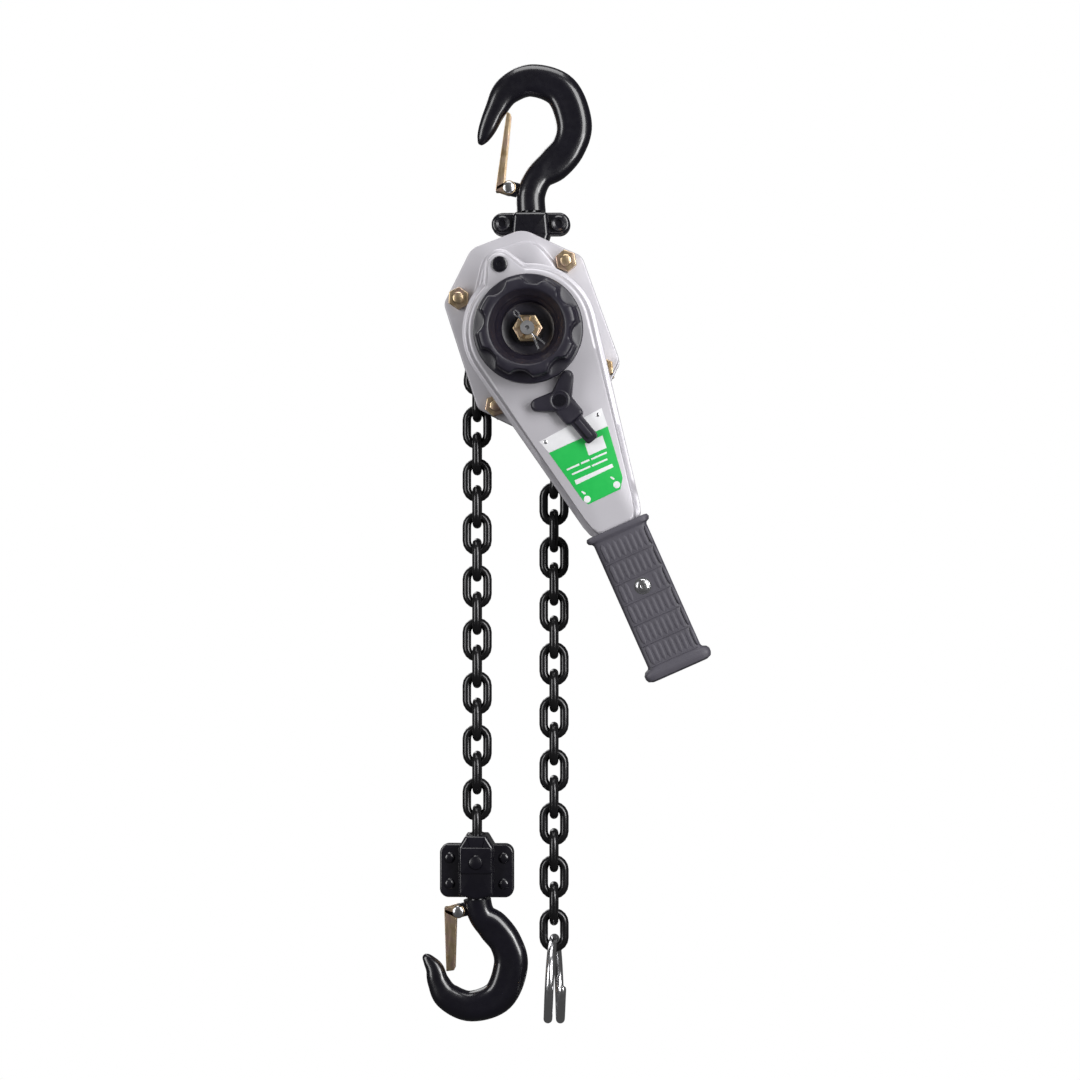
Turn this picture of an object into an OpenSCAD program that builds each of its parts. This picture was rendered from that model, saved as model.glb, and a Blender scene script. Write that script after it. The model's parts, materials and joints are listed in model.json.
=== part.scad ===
// Ratchet lever chain hoist, 0.75 t class, hanging from its top hook.
// Millimetres. Origin: load seat of the top hook. +X right, +Z up, the handwheel faces -Y.

/* [Layout] */
// Depth of the drive axis below the top hook's load seat
drive_drop = 162; // [158:1:166]
// Tilt of the housing as it hangs unloaded
body_tilt = 19; // [17:1:21]
// Lean of the lever away from straight down
lever_lean = 24; // [18:1:30]

/* [Chain] */
// Wire diameter of the load chain
wire_d = 6; // [5.8:0.1:6.2]
// Front-facing links on the load side below the housing
load_links = 8; // [6:1:9]
// Front-facing links on the free side below the housing
tail_links = 9; // [6:1:10]

/* [Housing] */
// Thickness of each side plate
plate_t = 5; // [4:0.5:5]
// Gap between the side plates
plate_gap = 24; // [24:1:26]
// Distance of each stay bolt from the drive axis, along both edges
stay_at = 38; // [37:0.5:39]

/* [Lever and wheel] */
// Length from the drive axis to the end of the grip
lever_len = 245; // [230:1:255]
// Radius of the handwheel's base flange
wheel_r = 36; // [33:0.5:37]
// Number of finger scallops in the handwheel
scallops = 8; // [6:1:10]

/* [Hidden] */
pitch = 18;                              // inside length of one chain link, to suit the sheave
$fn = 48;

ax = 1;                                  // the drive axis, seen from the front
az = -drive_drop;
pin_x = 1.5;                             // the pin that carries the housing, above its balance
pin_z = -103;
plate_y = plate_gap / 2;                 // inner face of each side plate
flange_y = plate_y + plate_t;            // outer face of each side plate
fit = 0.06;                              // running clearance of a pin, on the radius

black = [0.05, 0.045, 0.06];
grey = [0.78, 0.77, 0.8];
steel = [0.7, 0.7, 0.7];
zinc = [0.78, 0.63, 0.38];

// ---- placing ----
// An outline drawn as the front sees it, from y_front to y_back
module slab(y_front, y_back) translate([0, y_back, 0]) rotate([90, 0, 0])
    linear_extrude(y_back - y_front) children();
module rod(r, y_front, y_back, x = 0, z = 0) translate([x, y_back, z]) rotate([90, 0, 0])
    cylinder(h = y_back - y_front, r = r);
module on_axis() translate([ax, 0, az]) children();
module on_body() on_axis() rotate([0, -body_tilt, 0]) children();
module on_lever() on_axis() rotate([0, -lever_lean, 0]) children();

// ---- chain ----
wire_r = wire_d / 2 - 0.05;              // a hair under size, so that links never share metal
bow_r = 7;                               // wire centre radius at a link's ends
bow_at = pitch / 2 + wire_d / 2 - bow_r; // where each bow's centre sits along the link

// One link about the origin, standing along Z, lying in the XZ plane
module link_part() for (up = [0, 1]) mirror([0, 0, up]) {
    translate([0, 0, bow_at]) rotate([90, 0, 0]) rotate_extrude(angle = 180)
        translate([bow_r, 0]) circle(r = wire_r, $fn = 24);
    for (side = [-1, 1]) translate([side * bow_r, 0, 0])
        cylinder(h = bow_at, r = wire_r, $fn = 24);
}
// One link between two meeting points; odd ones are turned edge-on
module link(from, to, odd) translate([(from.x + to.x) / 2, 0, (from.y + to.y) / 2])
    rotate([0, 90 - atan2(to.y - from.y, to.x - from.x), 0]) rotate([0, 0, odd ? 90 : 0])
        link_part();
module chain(points, first_odd) for (i = [0 : len(points) - 2])
    link(points[i], points[i + 1], (i + first_odd) % 2 == 1);

// Meeting points of the links: up the load side, over the sheave and down the free side
pocket_step = 45;                        // eight links to a turn of the sheave
sheave_pitch_r = pitch / 2 / sin(pocket_step / 2);
arc_start = 187;
function on_sheave(i) = [ax, az] + sheave_pitch_r * [cos(arc_start - pocket_step * i),
                                                     sin(arc_start - pocket_step * i)];
load_x = -36.5;
tail_x = 15.6;
lead_in = on_sheave(0) - pitch * [cos(50.3), sin(50.3)];
load_top = [load_x, lead_in.y - sqrt(pitch * pitch - pow(lead_in.x - load_x, 2))];
tail_top_links = 6;
tail_run = pitch * tail_top_links;
tail_off = on_sheave(4).x - tail_x;
tail_top = [tail_x, on_sheave(4).y - sqrt(tail_run * tail_run - tail_off * tail_off)];
function down(top, i) = top - [0, pitch * i];
function tail_slant(i) = on_sheave(4) + (tail_top - on_sheave(4)) * i / tail_top_links;
inside_links = 4;                        // free-side links that stay with the housing
load_count = 2 * load_links + 2;         // the last one is held in the block
tail_count = 2 * tail_links - 1;
load_split = 8;                          // front-facing link above, so the lower run swings about X
tail_split = 9;
load_end = down(load_top, load_count - 1);
chain_pin_r = 3.4;
chain_pin_z = load_end.y - pitch + chain_pin_r + 0.3;
ring_hang_z = tail_top.y - pitch * tail_count - wire_d / 2;

module chain_on_sheave() color(black) {
    chain(concat([down(load_top, 1), load_top, lead_in], [for (i = [0 : 4]) on_sheave(i)],
                 [for (i = [1 : inside_links]) tail_slant(i)]), 1);
}
module load_chain_upper() color(black)
    chain([for (i = [1 : load_split]) down(load_top, i)], 0);
module load_chain_lower() color(black)
    chain([for (i = [load_split : load_count]) down(load_top, i)], 1);
module tail_chain_upper() color(black)
    chain(concat([for (i = [inside_links : tail_top_links - 1]) tail_slant(i)],
                 [for (i = [0 : tail_split]) down(tail_top, i)]), 0);
module tail_chain_lower() color(black)
    chain([for (i = [tail_split : tail_count]) down(tail_top, i)], 1);

// ---- hooks: a section carried along a smooth path ----
// Each station: x, z, half width in the hook's plane, half depth across it.
// z grows from the load seat towards the hook's back; the shank runs towards -z.
hook_path = [[0, -78, 10, 10], [0, -66, 9.8, 9.6], [5.5, -54, 9.6, 9], [16, -45.5, 11.6, 8.6],
             [25.6, -34, 11.5, 8.6], [29, -18, 12.2, 8.8], [20.6, 3.4, 11.8, 8.8],
             [0.6, 10.9, 10.8, 8.6], [-15.8, 4.4, 9.8, 8], [-24.2, -9, 7.5, 6.8],
             [-29.5, -20.8, 6.2, 5.6], [-32.4, -27.4, 4.5, 4.2], [-34, -31, 2.5, 2.6],
             [-34.6, -32.3, 1.1, 1.2]];
hook_steps = 3;
hook_sides = 14;

// Catmull-Rom curve through p, at parameter t of its span i
function at(p, i) = p[max(0, min(len(p) - 1, i))];
function curve(p, i, t) = 0.5 * (2 * at(p, i) + (at(p, i + 1) - at(p, i - 1)) * t
    + (2 * at(p, i - 1) - 5 * at(p, i) + 4 * at(p, i + 1) - at(p, i + 2)) * t * t
    + (3 * at(p, i) - at(p, i - 1) - 3 * at(p, i + 1) + at(p, i + 2)) * t * t * t);
function smooth(p, steps) = concat([for (i = [0 : len(p) - 2], k = [0 : steps - 1])
    curve(p, i, k / steps)], [p[len(p) - 1]]);
function unit(v) = v / norm(v);
function flow(p, i) = unit([at(p, i + 1).x - at(p, i - 1).x, at(p, i + 1).y - at(p, i - 1).y]);
// The section: an oval, a little squared
function oval(a) = [sign(cos(a)) * pow(abs(cos(a)), 0.85), sign(sin(a)) * pow(abs(sin(a)), 0.85)];
function section(p, i) = let (f = flow(p, i)) [for (k = [0 : hook_sides - 1])
    let (o = oval(360 * k / hook_sides))
    [p[i].x + f.y * o.x * p[i][2], o.y * p[i][3], p[i].y - f.x * o.x * p[i][2]]];
module swept(rings) {
    n = len(rings[0]);
    m = len(rings);
    polyhedron([for (r = rings, q = r) q],
        concat([[for (k = [0 : n - 1]) k]], [[for (k = [n - 1 : -1 : 0]) (m - 1) * n + k]],
        [for (i = [0 : m - 2], k = [0 : n - 1])
            [i * n + k, (i + 1) * n + k, (i + 1) * n + (k + 1) % n, i * n + (k + 1) % n]]));
}
module hook_arm(path) {
    fine = smooth(path, hook_steps);
    swept([for (i = [0 : len(fine) - 1]) section(fine, i)]);
}
// Turned shank below the neck, with the head that the yoke or block holds
module shank(neck_z, stem_r, head_r, stem, head) {
    translate([0, 0, neck_z - stem]) cylinder(h = stem + 2, r = stem_r);
    translate([0, 0, neck_z - stem - head]) cylinder(h = head, r = head_r);
}
stem_r = 7;
head_r = 9.5;
stem_len = 8;
head_len = 4.5;
top_pivot = [-14.7, -62];
bottom_pivot = [-13.2, -57];
latch_pin_r = 2.2;
lug_r = 4.8;
module latch_lug(pivot) slab(-3.4, 3.4) hull() {
    translate(pivot) circle(r = lug_r);
    translate(pivot + [9.5, -2.5]) circle(r = 5);
}
module latch_hole(pivot) rod(latch_pin_r + fit, -10, 10, pivot.x, pivot.y);
// Channel latch: two cheeks from the lug to the tip and a web that closes the mouth. The web
// starts back from the pivot; the cheeks are as wide as root there and as end at the tip.
module latch(pivot, tip, back, root, end) difference() {
    union() {
        for (side = [-1, 1]) slab(side * 4.8 - 0.9, side * 4.8 + 0.9) {
            hull() {
                translate(pivot) circle(r = lug_r);
                translate(pivot + [2.3 - back, -0.5]) circle(r = 2);
            }
            polygon([pivot + [0.1 - back, -1.5], pivot + [root - back, 2], tip + [end, -0.9],
                     tip + [0.1, -0.1]]);
        }
        slab(-5.7, 5.7) polygon([pivot + [-back, -2.5], pivot + [2.2 - back, -3.4],
                                 tip + [1.8, -0.8], tip]);
    }
    rod(latch_pin_r + 0.02, -12, 12, pivot.x, pivot.y);
}
module latch_rivet(pivot) {
    rod(latch_pin_r, -5.9, 5.9, pivot.x, pivot.y);
    for (side = [-1, 1]) rod(4.2, side * 6.5 - 0.7, side * 6.5 + 0.7, pivot.x, pivot.y);
}
module top_hook() color(black) difference() {
    union() {
        hook_arm(hook_path);
        shank(hook_path[0].y, stem_r, head_r, stem_len, head_len);
        latch_lug(top_pivot);
    }
    latch_hole(top_pivot);
}
module top_latch() color(zinc) latch(top_pivot, [-16.4, -11], 9, 5.6, 3);
module top_latch_rivet() color(steel) latch_rivet(top_pivot);

// ---- top yoke: two forged halves round the hook's head ----
yoke_top = -79;
ear_x = 19;
ear_z = -86.7;
ear_r = 7.6;
yoke_d = 11.4;
yoke_pin_r = 6;
module yoke_half(front) difference() {
    y0 = front ? -yoke_d : 0.1;
    y1 = front ? -0.1 : yoke_d;
    union() {
        slab(y0, y1) {
            polygon([[-12, yoke_top], [12, yoke_top], [12.5, -94], [9.5, pin_z], [-9.5, pin_z],
                     [-12.5, -94]]);
            translate([pin_x, pin_z]) circle(r = 9.5);
        }
        slab(front ? -7 : y0, front ? y1 : 7) hull() for (side = [-1, 1])
            translate([side * ear_x, ear_z]) circle(r = ear_r);
    }
    translate([0, 0, yoke_top - stem_len]) cylinder(h = stem_len + 1, r = stem_r + 0.3);
    translate([0, 0, yoke_top + 1 - stem_len - head_len - 0.6])
        cylinder(h = head_len + 1, r = head_r + 0.4);
    rod(yoke_pin_r + fit, -20, 20, pin_x, pin_z);
    for (side = [-1, 1]) rod(3.02, -20, 20, side * ear_x, ear_z);
}
module top_yoke_front() color(black) yoke_half(true);
module top_yoke_back() color(black) yoke_half(false);
module top_yoke_bolts() color(black) for (side = [-1, 1]) {
    rod(3, -9, 10, side * ear_x, ear_z);
    rod(5.2, -10.6, -7, side * ear_x, ear_z);
    translate([side * ear_x, 0, ear_z]) slab(7, 11) circle(r = 5.6, $fn = 6);
}
module top_yoke_pin() color(steel) {
    rod(yoke_pin_r, -16.8, 16.8, pin_x, pin_z);
}

// ---- housing ----
// Eight-sided plate about the drive axis: each corner's place and its radius
plate_corners = [[24, 65, 16], [47.5, 41, 8], [49, -38, 6], [33, -54, 7], [-33, -54, 7],
                 [-49, -38, 6], [-47.5, 41, 7], [-24, 65, 12]];
module plate_outline() hull() for (c = plate_corners)
    translate([c.x - 0.8 * c.z * sign(c.x), c.y - 0.8 * c.z * sign(c.y)]) circle(r = c.z, $fn = 32);
module stay_holes(r) for (x = [-1, 1], z = [-1, 1]) rod(r, -60, 60, x * stay_at, z * stay_at);
stay_r = 4;
idler_at = 25.5;                         // centre distance of both gear stages
idler_r = 4;
hub_r = 14;
module side_plate(y0, y1) difference() {
    on_body() difference() {
        slab(y0, y1) plate_outline();
        stay_holes(stay_r + 0.02);
        rod(hub_r + fit, -60, 60);
    }
    rod(yoke_pin_r + 0.02, -60, 60, pin_x, pin_z);
    rod(guide_pin_r + 0.02, -60, 60, guide_at.x, guide_at.y);
}
module front_side_plate() color(grey) side_plate(-flange_y, -plate_y);
module back_side_plate() color(grey) difference() {
    side_plate(plate_y, flange_y);
    on_body() for (side = [-1, 1]) rod(idler_r + fit, -60, 60, side * idler_at, 0);
}
module stay_bolts() color(zinc) on_body() for (x = [-1, 1], z = [-1, 1])
    rod(stay_r, -29.2, 26, x * stay_at, z * stay_at);
nut_r = 7.5;
cover_flange = 2.5;
cover_face = flange_y + cover_flange;    // where the stay nuts sit
module hex_nut(y0, y1, r) difference() {
    slab(y0, y1) circle(r = r, $fn = 6);
    rod(stay_r + 0.02, y0 - 1, y1 + 1);
}
module stay_nuts() color(zinc) on_body() for (x = [-1, 1], z = [-1, 1])
    translate([x * stay_at, 0, z * stay_at]) {
        rotate([0, 12, 0]) hex_nut(-cover_face - 7.5, -cover_face, nut_r);
        hex_nut(cover_face, cover_face + 6, nut_r);
    }
module stay_spacers() color(steel) on_body() for (x = [-1, 1], z = [-1, 1]) difference() {
    rod(stay_r + 0.9, -plate_y, plate_y, x * stay_at, z * stay_at);
    rod(stay_r + 0.02, -plate_y - 1, plate_y + 1, x * stay_at, z * stay_at);
}
// Pressed cover: flange, a low step under the hook and the round brake chamber
chamber_r = 42;
chamber_y = 29.4;
module brake_cover() color(grey) on_body() difference() {
    union() {
        slab(-cover_face, -flange_y) plate_outline();
        slab(-25, -cover_face + 0.5) hull() {
            circle(r = chamber_r);
            for (side = [-1, 1]) translate([4 + 8 * side, 45]) circle(r = 15);
        }
        rod(chamber_r - 3, -chamber_y, -24);
    }
    rod(chamber_r - 4, -chamber_y + 2, -flange_y + 1);
    rod(hub_r, -60, 0);
    stay_holes(stay_r + 0.02);
    for (x = [-1, 1], z = [-1, 1]) rod(nut_r + 0.8, -60, -cover_face, x * stay_at, z * stay_at);
}
gear_back = 44;
module gear_cover() color(grey) on_body() difference() {
    union() {
        slab(flange_y, cover_face) plate_outline();
        slab(cover_face - 0.5, gear_back) hull() for (side = [-1, 1])
            translate([side * 6, 0]) circle(r = 41);
    }
    slab(flange_y - 1, gear_back - 2.5) hull() for (side = [-1, 1])
        translate([side * 6, 0]) circle(r = 39);
    stay_holes(stay_r + 0.02);
}

// ---- chain guide ----
guide_at = [-19.6, -188];
guide_pin_r = 2.5;
module guide_roller() color(steel) difference() {
    rod(4.6, -plate_y + 0.4, plate_y - 0.4, guide_at.x, guide_at.y);
    rod(guide_pin_r + fit, -20, 20, guide_at.x, guide_at.y);
}
module guide_roller_pin() color(steel)
    rod(guide_pin_r, -flange_y + 0.2, flange_y - 0.2, guide_at.x, guide_at.y);

// ---- gears ----
gear_m = 1.5;
pressure = 20;
small_z = 10;
large_z = 24;
backlash = 0.7;
// Involute of an angle, in degrees
function inv(a) = tan(a) * 180 / PI - a;
// Half the angle that a tooth fills at radius r
function half_tooth(r, z) = let (rp = gear_m * z / 2, rb = rp * cos(pressure), a = acos(min(1, rb / r)))
    (PI * gear_m / 2 - backlash) / 2 / rp * 180 / PI + inv(pressure) - inv(a);
function tooth_radii(z) = let (rp = gear_m * z / 2) [rp - 1.9, rp - 0.5, rp, rp + 0.5, rp + 1.1];
function gear_points(z) = [for (k = [0 : z - 1]) let (rs = tooth_radii(z), mid = 360 * k / z)
    for (j = [0 : 2 * len(rs) - 1])
        let (r = j < len(rs) ? rs[j] : rs[2 * len(rs) - 1 - j], side = j < len(rs) ? -1 : 1,
             a = mid + side * half_tooth(r, z)) r * [cos(a), sin(a)]];
module gear(z, phase, y0, y1) slab(y0, y1) rotate(phase) polygon(gear_points(z));
load_gear_y = [19, 27];
fast_gear_y = [29, 37];
shaft_r = 6;
thread_r = 4.6;

// ---- drive train ----
// Pocket wheel: two rims with a groove between them that clears the standing links
rim_r = 17.5;
groove_r = 9.4;
module load_sheave() color(steel) on_axis() difference() {
    union() {
        for (side = [-1, 1]) rod(rim_r, side * 7.5 - 4, side * 7.5 + 4);
        rod(groove_r, -4, 4);
        rod(hub_r, 11, 17.6);
        rod(hub_r, -17.6, -11);
        rod(11, 17, load_gear_y[1]);
    }
    rod(shaft_r + fit, -60, 60);
}
module load_gear() color(steel) on_axis() difference() {
    gear(large_z, body_tilt, load_gear_y[0], load_gear_y[1]);
    rod(11.02, 0, 60);
}
module drive_shaft() color(steel) on_axis() difference() {
    union() {
        rod(shaft_r, -seat_y, 28);
        rod(thread_r, -seat_y - 12, -seat_y + 1);
        rod(5, 27, 41);
        gear(small_z, body_tilt, fast_gear_y[0], fast_gear_y[1]);
    }
    rod(1.4, -seat_y - 13, -seat_y - 8);
}
module brake_hub() color(steel) on_axis() difference() {
    rod(24, -20, -17.9);
    rod(shaft_r + 0.02, -60, 0);
}
module friction_discs() color([0.35, 0.25, 0.2]) on_axis() for (y = [-21.3, -25.6]) difference() {
    rod(23, y, y + 1.2);
    rod(shaft_r + 0.02, -60, 0);
}
module ratchet_disc() color(steel) on_body() difference() {
    slab(-24.3, -21.4) for (k = [0 : 11]) rotate(30 * k)
        polygon([[0, 0], [28, 0], [25 * cos(16), 25 * sin(16)], [24 * cos(30), 24 * sin(30)]]);
    rod(shaft_r + 1, -60, 0);
}
pawl_at = [0, 33.6];
module brake_pawl(turn) on_body() rotate([0, turn, 0]) difference() {
    slab(-24.3, -20.5) {
        translate(pawl_at) circle(r = 3.8);
        polygon([[-2, 30.6], [2.5, 30.2], [8.4, 29.3], [8.2, 31.6], [2.6, 36.6]]);
    }
    rod(1.8, -60, 0, pawl_at.x, pawl_at.y);
}
module brake_pawl_pins() color(steel) on_body() for (side = [-1, 1])
    rod(1.74, -25, -flange_y, side * pawl_at.y, 0);
module brake_pawl_left() color(steel) brake_pawl(-90);
module brake_pawl_right() color(steel) brake_pawl(90);
// Threaded sleeve with the lever's toothed ring and the brake's outer face
module lever_gear() color(steel) on_axis() difference() {
    union() {
        rod(23, -27.1, -25.7);
        rod(12.5, -47, -27);
        slab(-45, -33.5) difference() {
            circle(r = 22);
            for (k = [0 : 15]) rotate(22.5 * k) translate([22, 0]) rotate(45) square(4.4, center = true);
        }
    }
    rod(shaft_r + 0.02, -60, 0);
}
module intermediate_gear(side) on_body() translate([side * idler_at, 0, 0]) {
    gear(large_z, (side < 0 ? 0 : 180) + 180 / large_z, fast_gear_y[0], fast_gear_y[1]);
    gear(small_z, (side < 0 ? 0 : 180) + 180 / small_z, 18.6, 28);
    rod(5, 27.5, 29.5);
    rod(idler_r, 12.6, 18.7);
    rod(idler_r, 36.9, 41);
}
module intermediate_gear_left() color(steel) intermediate_gear(-1);
module intermediate_gear_right() color(steel) intermediate_gear(1);

// ---- handwheel ----
wheel_back = -59.5;
wheel_front = -82;
seat_y = 62;                             // floor of the wheel's recess
ring_r = 32.6;
scallop_r = 10;
module handwheel() color(black) on_axis() difference() {
    rotate([90, 0, 0]) rotate_extrude() polygon([
        [shaft_r + 0.03, 47.4], [14, 47.4], [14, -wheel_back], [wheel_r, -wheel_back],
        [wheel_r, -wheel_back + 6], [ring_r, -wheel_back + 7.5], [ring_r, -wheel_front - 1.5],
        [ring_r - 1.5, -wheel_front], [24.4, -wheel_front], [21.2, 76], [20.6, 73.5], [17.9, 70],
        [17.9, seat_y], [shaft_r + 0.03, seat_y]]);
    for (k = [0 : scallops - 1]) rotate([0, -(38 + 360 * k / scallops), 0])
        rod(scallop_r, wheel_front - 1, wheel_back - 7.4, 28.6 + scallop_r, 0);
}
module wheel_washer() color(steel) on_axis() difference() {
    rod(11, -seat_y - 1.6, -seat_y - 0.1);
    rod(thread_r + 0.05, -80, -50);
}
module castle_nut() color(zinc) on_axis() difference() {
    union() {
        slab(-seat_y - 7.2, -seat_y - 1.7) circle(r = 10, $fn = 6);
        rod(7.8, -seat_y - 10.5, -seat_y - 7);
    }
    rod(thread_r + 0.05, -80, -50);
    for (k = [0 : 2]) rotate([0, 60 * k + 52, 0]) translate([-12, -seat_y - 12, -1.3])
        cube([24, 4, 2.6]);
}
module cotter_pin() color(steel) on_axis() rotate([0, -128, 0]) {
    translate([thread_r + 0.1, -seat_y - 9.6, 0]) rotate([0, 90, 0]) cylinder(h = 9.5, r = 0.9);
    for (side = [-1, 1]) translate([-8, -seat_y - 9.6, side * 1.4])
        rotate([0, -90 + side * 9, 0]) cylinder(h = 7.5, r = 0.9);
}

// ---- lever ----
grip_start = 141;
lobe_at = 47.7;
head_flange_r = 45;
shell_mid = -39;                         // where the two shells meet
tongue_half = 15.5;
tongue_end = 236;                        // how far the shells run inside the grip
module lever_outline(head, end_half, lobe, tongue, reach) {
    hull() {
        circle(r = head, $fn = 64);
        translate([-end_half, -grip_start]) square([2 * end_half, 1]);
    }
    translate([-tongue, -reach]) square([2 * tongue, reach - grip_start + 2]);
    hull() {
        circle(r = head * 0.75, $fn = 64);
        translate([0, lobe_at]) circle(r = lobe);
    }
}
selector_at = -51;
selector_r = 5;
module lever_back_shell() color(grey) on_lever() difference() {
    slab(shell_mid, -30.4) lever_outline(head_flange_r, 18.4, 11, tongue_half, tongue_end);
    slab(shell_mid - 1, -33)
        lever_outline(head_flange_r - 3, 15.4, 8, tongue_half - 3, tongue_end - 3);
    rod(13.4, -60, 0);
    rod(selector_r + fit, -60, 0, 0, selector_at);
}
module lever_front_shell() color(grey) on_lever() difference() {
    union() {
        slab(-41.6, shell_mid - 0.05)
            lever_outline(head_flange_r, 18.4, 11, tongue_half, tongue_end);
        slab(-50, -41) lever_outline(head_flange_r - 3.2, 14.6, 8.6, 14.6, tongue_end);
    }
    slab(-47.5, shell_mid + 1)
        lever_outline(head_flange_r - 6, 11.6, 5.6, 11.6, tongue_end - 3);
    rod(14.6, -60, 0);
    rod(selector_r + fit, -60, 0, 0, selector_at);
    rod(4.02, -60, 0, 0, lobe_at);
}
module lever_plug() color(black) on_lever() {
    rod(4, -50.5, -46, 0, lobe_at);
    rod(5.4, -52, -50, 0, lobe_at);
}
label_y = -50.3;
module lever_label() color([0.1, 0.62, 0.3]) on_lever() slab(label_y, -50)
    polygon([[-24, -69.5], [22.8, -66], [13.8, -118], [-11.3, -120.6]]);
module grip() color(black) on_lever() difference() {
    union() {
        slab(-52.4, -28.6) translate([-19, -lever_len + 5])
            square([38, lever_len - grip_start - 5]);
        slab(-53.4, -28.4) hull() for (side = [-1, 1])
            translate([side * 20, -grip_start - 2.4]) circle(r = 2.4, $fn = 24);
        slab(-54.4, -28) hull() for (side = [-1, 1])
            translate([side * 19.6, -lever_len + 4]) circle(r = 4, $fn = 24);
    }
    slab(-50.1, -30.3) translate([-tongue_half - 0.1, -tongue_end - 0.1])
        square([2 * tongue_half + 0.2, tongue_end - grip_start + 2]);
    rod(2.52, -60, -50, 0, -184);
}
module grip_screw() color(steel) on_lever() {
    rod(4.6, -53.8, -52.4, 0, -184);
    rod(2.5, -52.5, -50.2, 0, -184);
}

// ---- direction selector ----
knob_y = [-58.4, -51];
module knob_arm(turn, reach, half) rotate(turn) hull() {
    circle(r = 8.2, $fn = 32);
    translate([reach - half, 0]) circle(r = half, $fn = 32);
}
module selector_knob() color(black) on_lever() translate([0, 0, selector_at]) difference() {
    rotate([0, lever_lean, 0]) slab(knob_y[0], knob_y[1]) {
        knob_arm(74, 21, 4.6);
        knob_arm(191, 20, 4.6);
        knob_arm(310, 34, 4);
    }
    rod(4.02, -70, 0);
}
module selector_shaft() color(steel) on_lever() {
    rod(selector_r, -50.9, -29.6, 0, selector_at);
    rod(4, -58.9, -50.5, 0, selector_at);
}
module lever_pawl() color(steel) on_lever() difference() {
    slab(-45, -34.5) translate([0, selector_at]) {
        circle(r = 9);
        for (side = [-1, 1]) rotate(side * 38) polygon([[-7, 0], [7, 0], [3, 26], [-3, 26]]);
    }
    rod(selector_r + 0.02, -60, 0, 0, selector_at);
}

// ---- bottom block: two halves riveted round the last link and the hook's head ----
block_top = -505;
block_bottom = -542;
block_half = 12;
block_d = 14.5;
flange_half = 25;
flange_d = 5;
bottom_scale = 0.95;
module block_half_part(front) difference() {
    y0 = front ? -block_d : 0.1;
    y1 = front ? -0.1 : block_d;
    union() {
        slab(y0, y1) translate([load_x, 0]) polygon([[-8, block_top + 6], [8, block_top + 6],
            [block_half, block_top - 1], [block_half, block_bottom + 4], [9, block_bottom],
            [-9, block_bottom], [-block_half, block_bottom + 4], [-block_half, block_top - 1]]);
        slab(front ? -flange_d : y0, front ? y1 : flange_d) hull() for (x = [-1, 1], z = [-9, 9])
            translate([load_x + x * (flange_half - 5), (block_top + block_bottom) / 2 + z])
                circle(r = 5 + 0.4 * abs(z), $fn = 32);
    }
    slab(-4, 4) translate([load_x - 10.8, load_end.y - 25.5]) square([21.6, 70]);
    slab(-10.6, 10.6) translate([load_x - 4, load_end.y - 7.5]) square([8, 40]);
    rod(chain_pin_r + 0.02, -20, 20, load_x, chain_pin_z);
    translate([load_x, 0, block_bottom - 2]) cylinder(h = 8, r = stem_r * bottom_scale + 0.4);
    translate([load_x, 0, block_bottom + 3.9]) cylinder(h = 6.5, r = head_r * bottom_scale + 0.5);
    for (x = [-1, 1], z = [-1, 1]) rod(2.52, -20, 20, load_x + 18.4 * x,
        (block_top + block_bottom) / 2 + 8.8 * z);
}
module block_front() color(black) block_half_part(true);
module block_back() color(black) block_half_part(false);
module block_rivets() color(black) for (x = [-1, 1], z = [-1, 1])
    translate([load_x + 18.4 * x, 0, (block_top + block_bottom) / 2 + 8.8 * z]) {
        rod(2.5, -6, 6);
        rod(4, -6.6, -5);
        rod(4, 5, 6.6);
    }
module chain_pin() color(black) {
    rod(chain_pin_r, -15, 15, load_x, chain_pin_z);
    rod(5, -16.4, -14.5, load_x, chain_pin_z);
}
// The bottom hook is the top one upside down, 5 per cent smaller
module as_bottom() translate([load_x, 0, bottom_seat_z]) mirror([0, 0, 1]) scale(bottom_scale)
    children();
neck_at = 66;                            // local height where the bottom hook's neck begins
bottom_seat_z = block_bottom - 0.6 - neck_at * bottom_scale;
bottom_bowl = [for (i = [2 : 8]) let (s = hook_path[i])
    [s.x - 5 * min(1, (s.y + 62) / 20), s.y, s[2], s[3]]];
bottom_point = [[-27.6, -6, 7.8, 6.8], [-30.2, -15, 6.5, 5.8], [-34, -20.8, 4.6, 4.3],
                [-36.8, -24.2, 2.8, 2.8], [-37.8, -25.6, 1.1, 1.1]];
module bottom_hook() color(black) as_bottom() difference() {
    union() {
        difference() {
            hook_arm(concat([hook_path[0], hook_path[1]], bottom_bowl, bottom_point));
            translate([-20, -20, -100]) cube([40, 40, 100 - neck_at]);
        }
        translate([0, 0, -77]) cylinder(h = 14, r = stem_r);
        translate([0, 0, -76.6]) cylinder(h = head_len, r = head_r);
        latch_lug(bottom_pivot);
    }
    latch_hole(bottom_pivot);
}
module bottom_latch() color(zinc) as_bottom() latch(bottom_pivot, [-21.8, -14.4], 9.9, 8.6, 6.2);
module bottom_latch_rivet() color(steel) as_bottom() latch_rivet(bottom_pivot);

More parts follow.
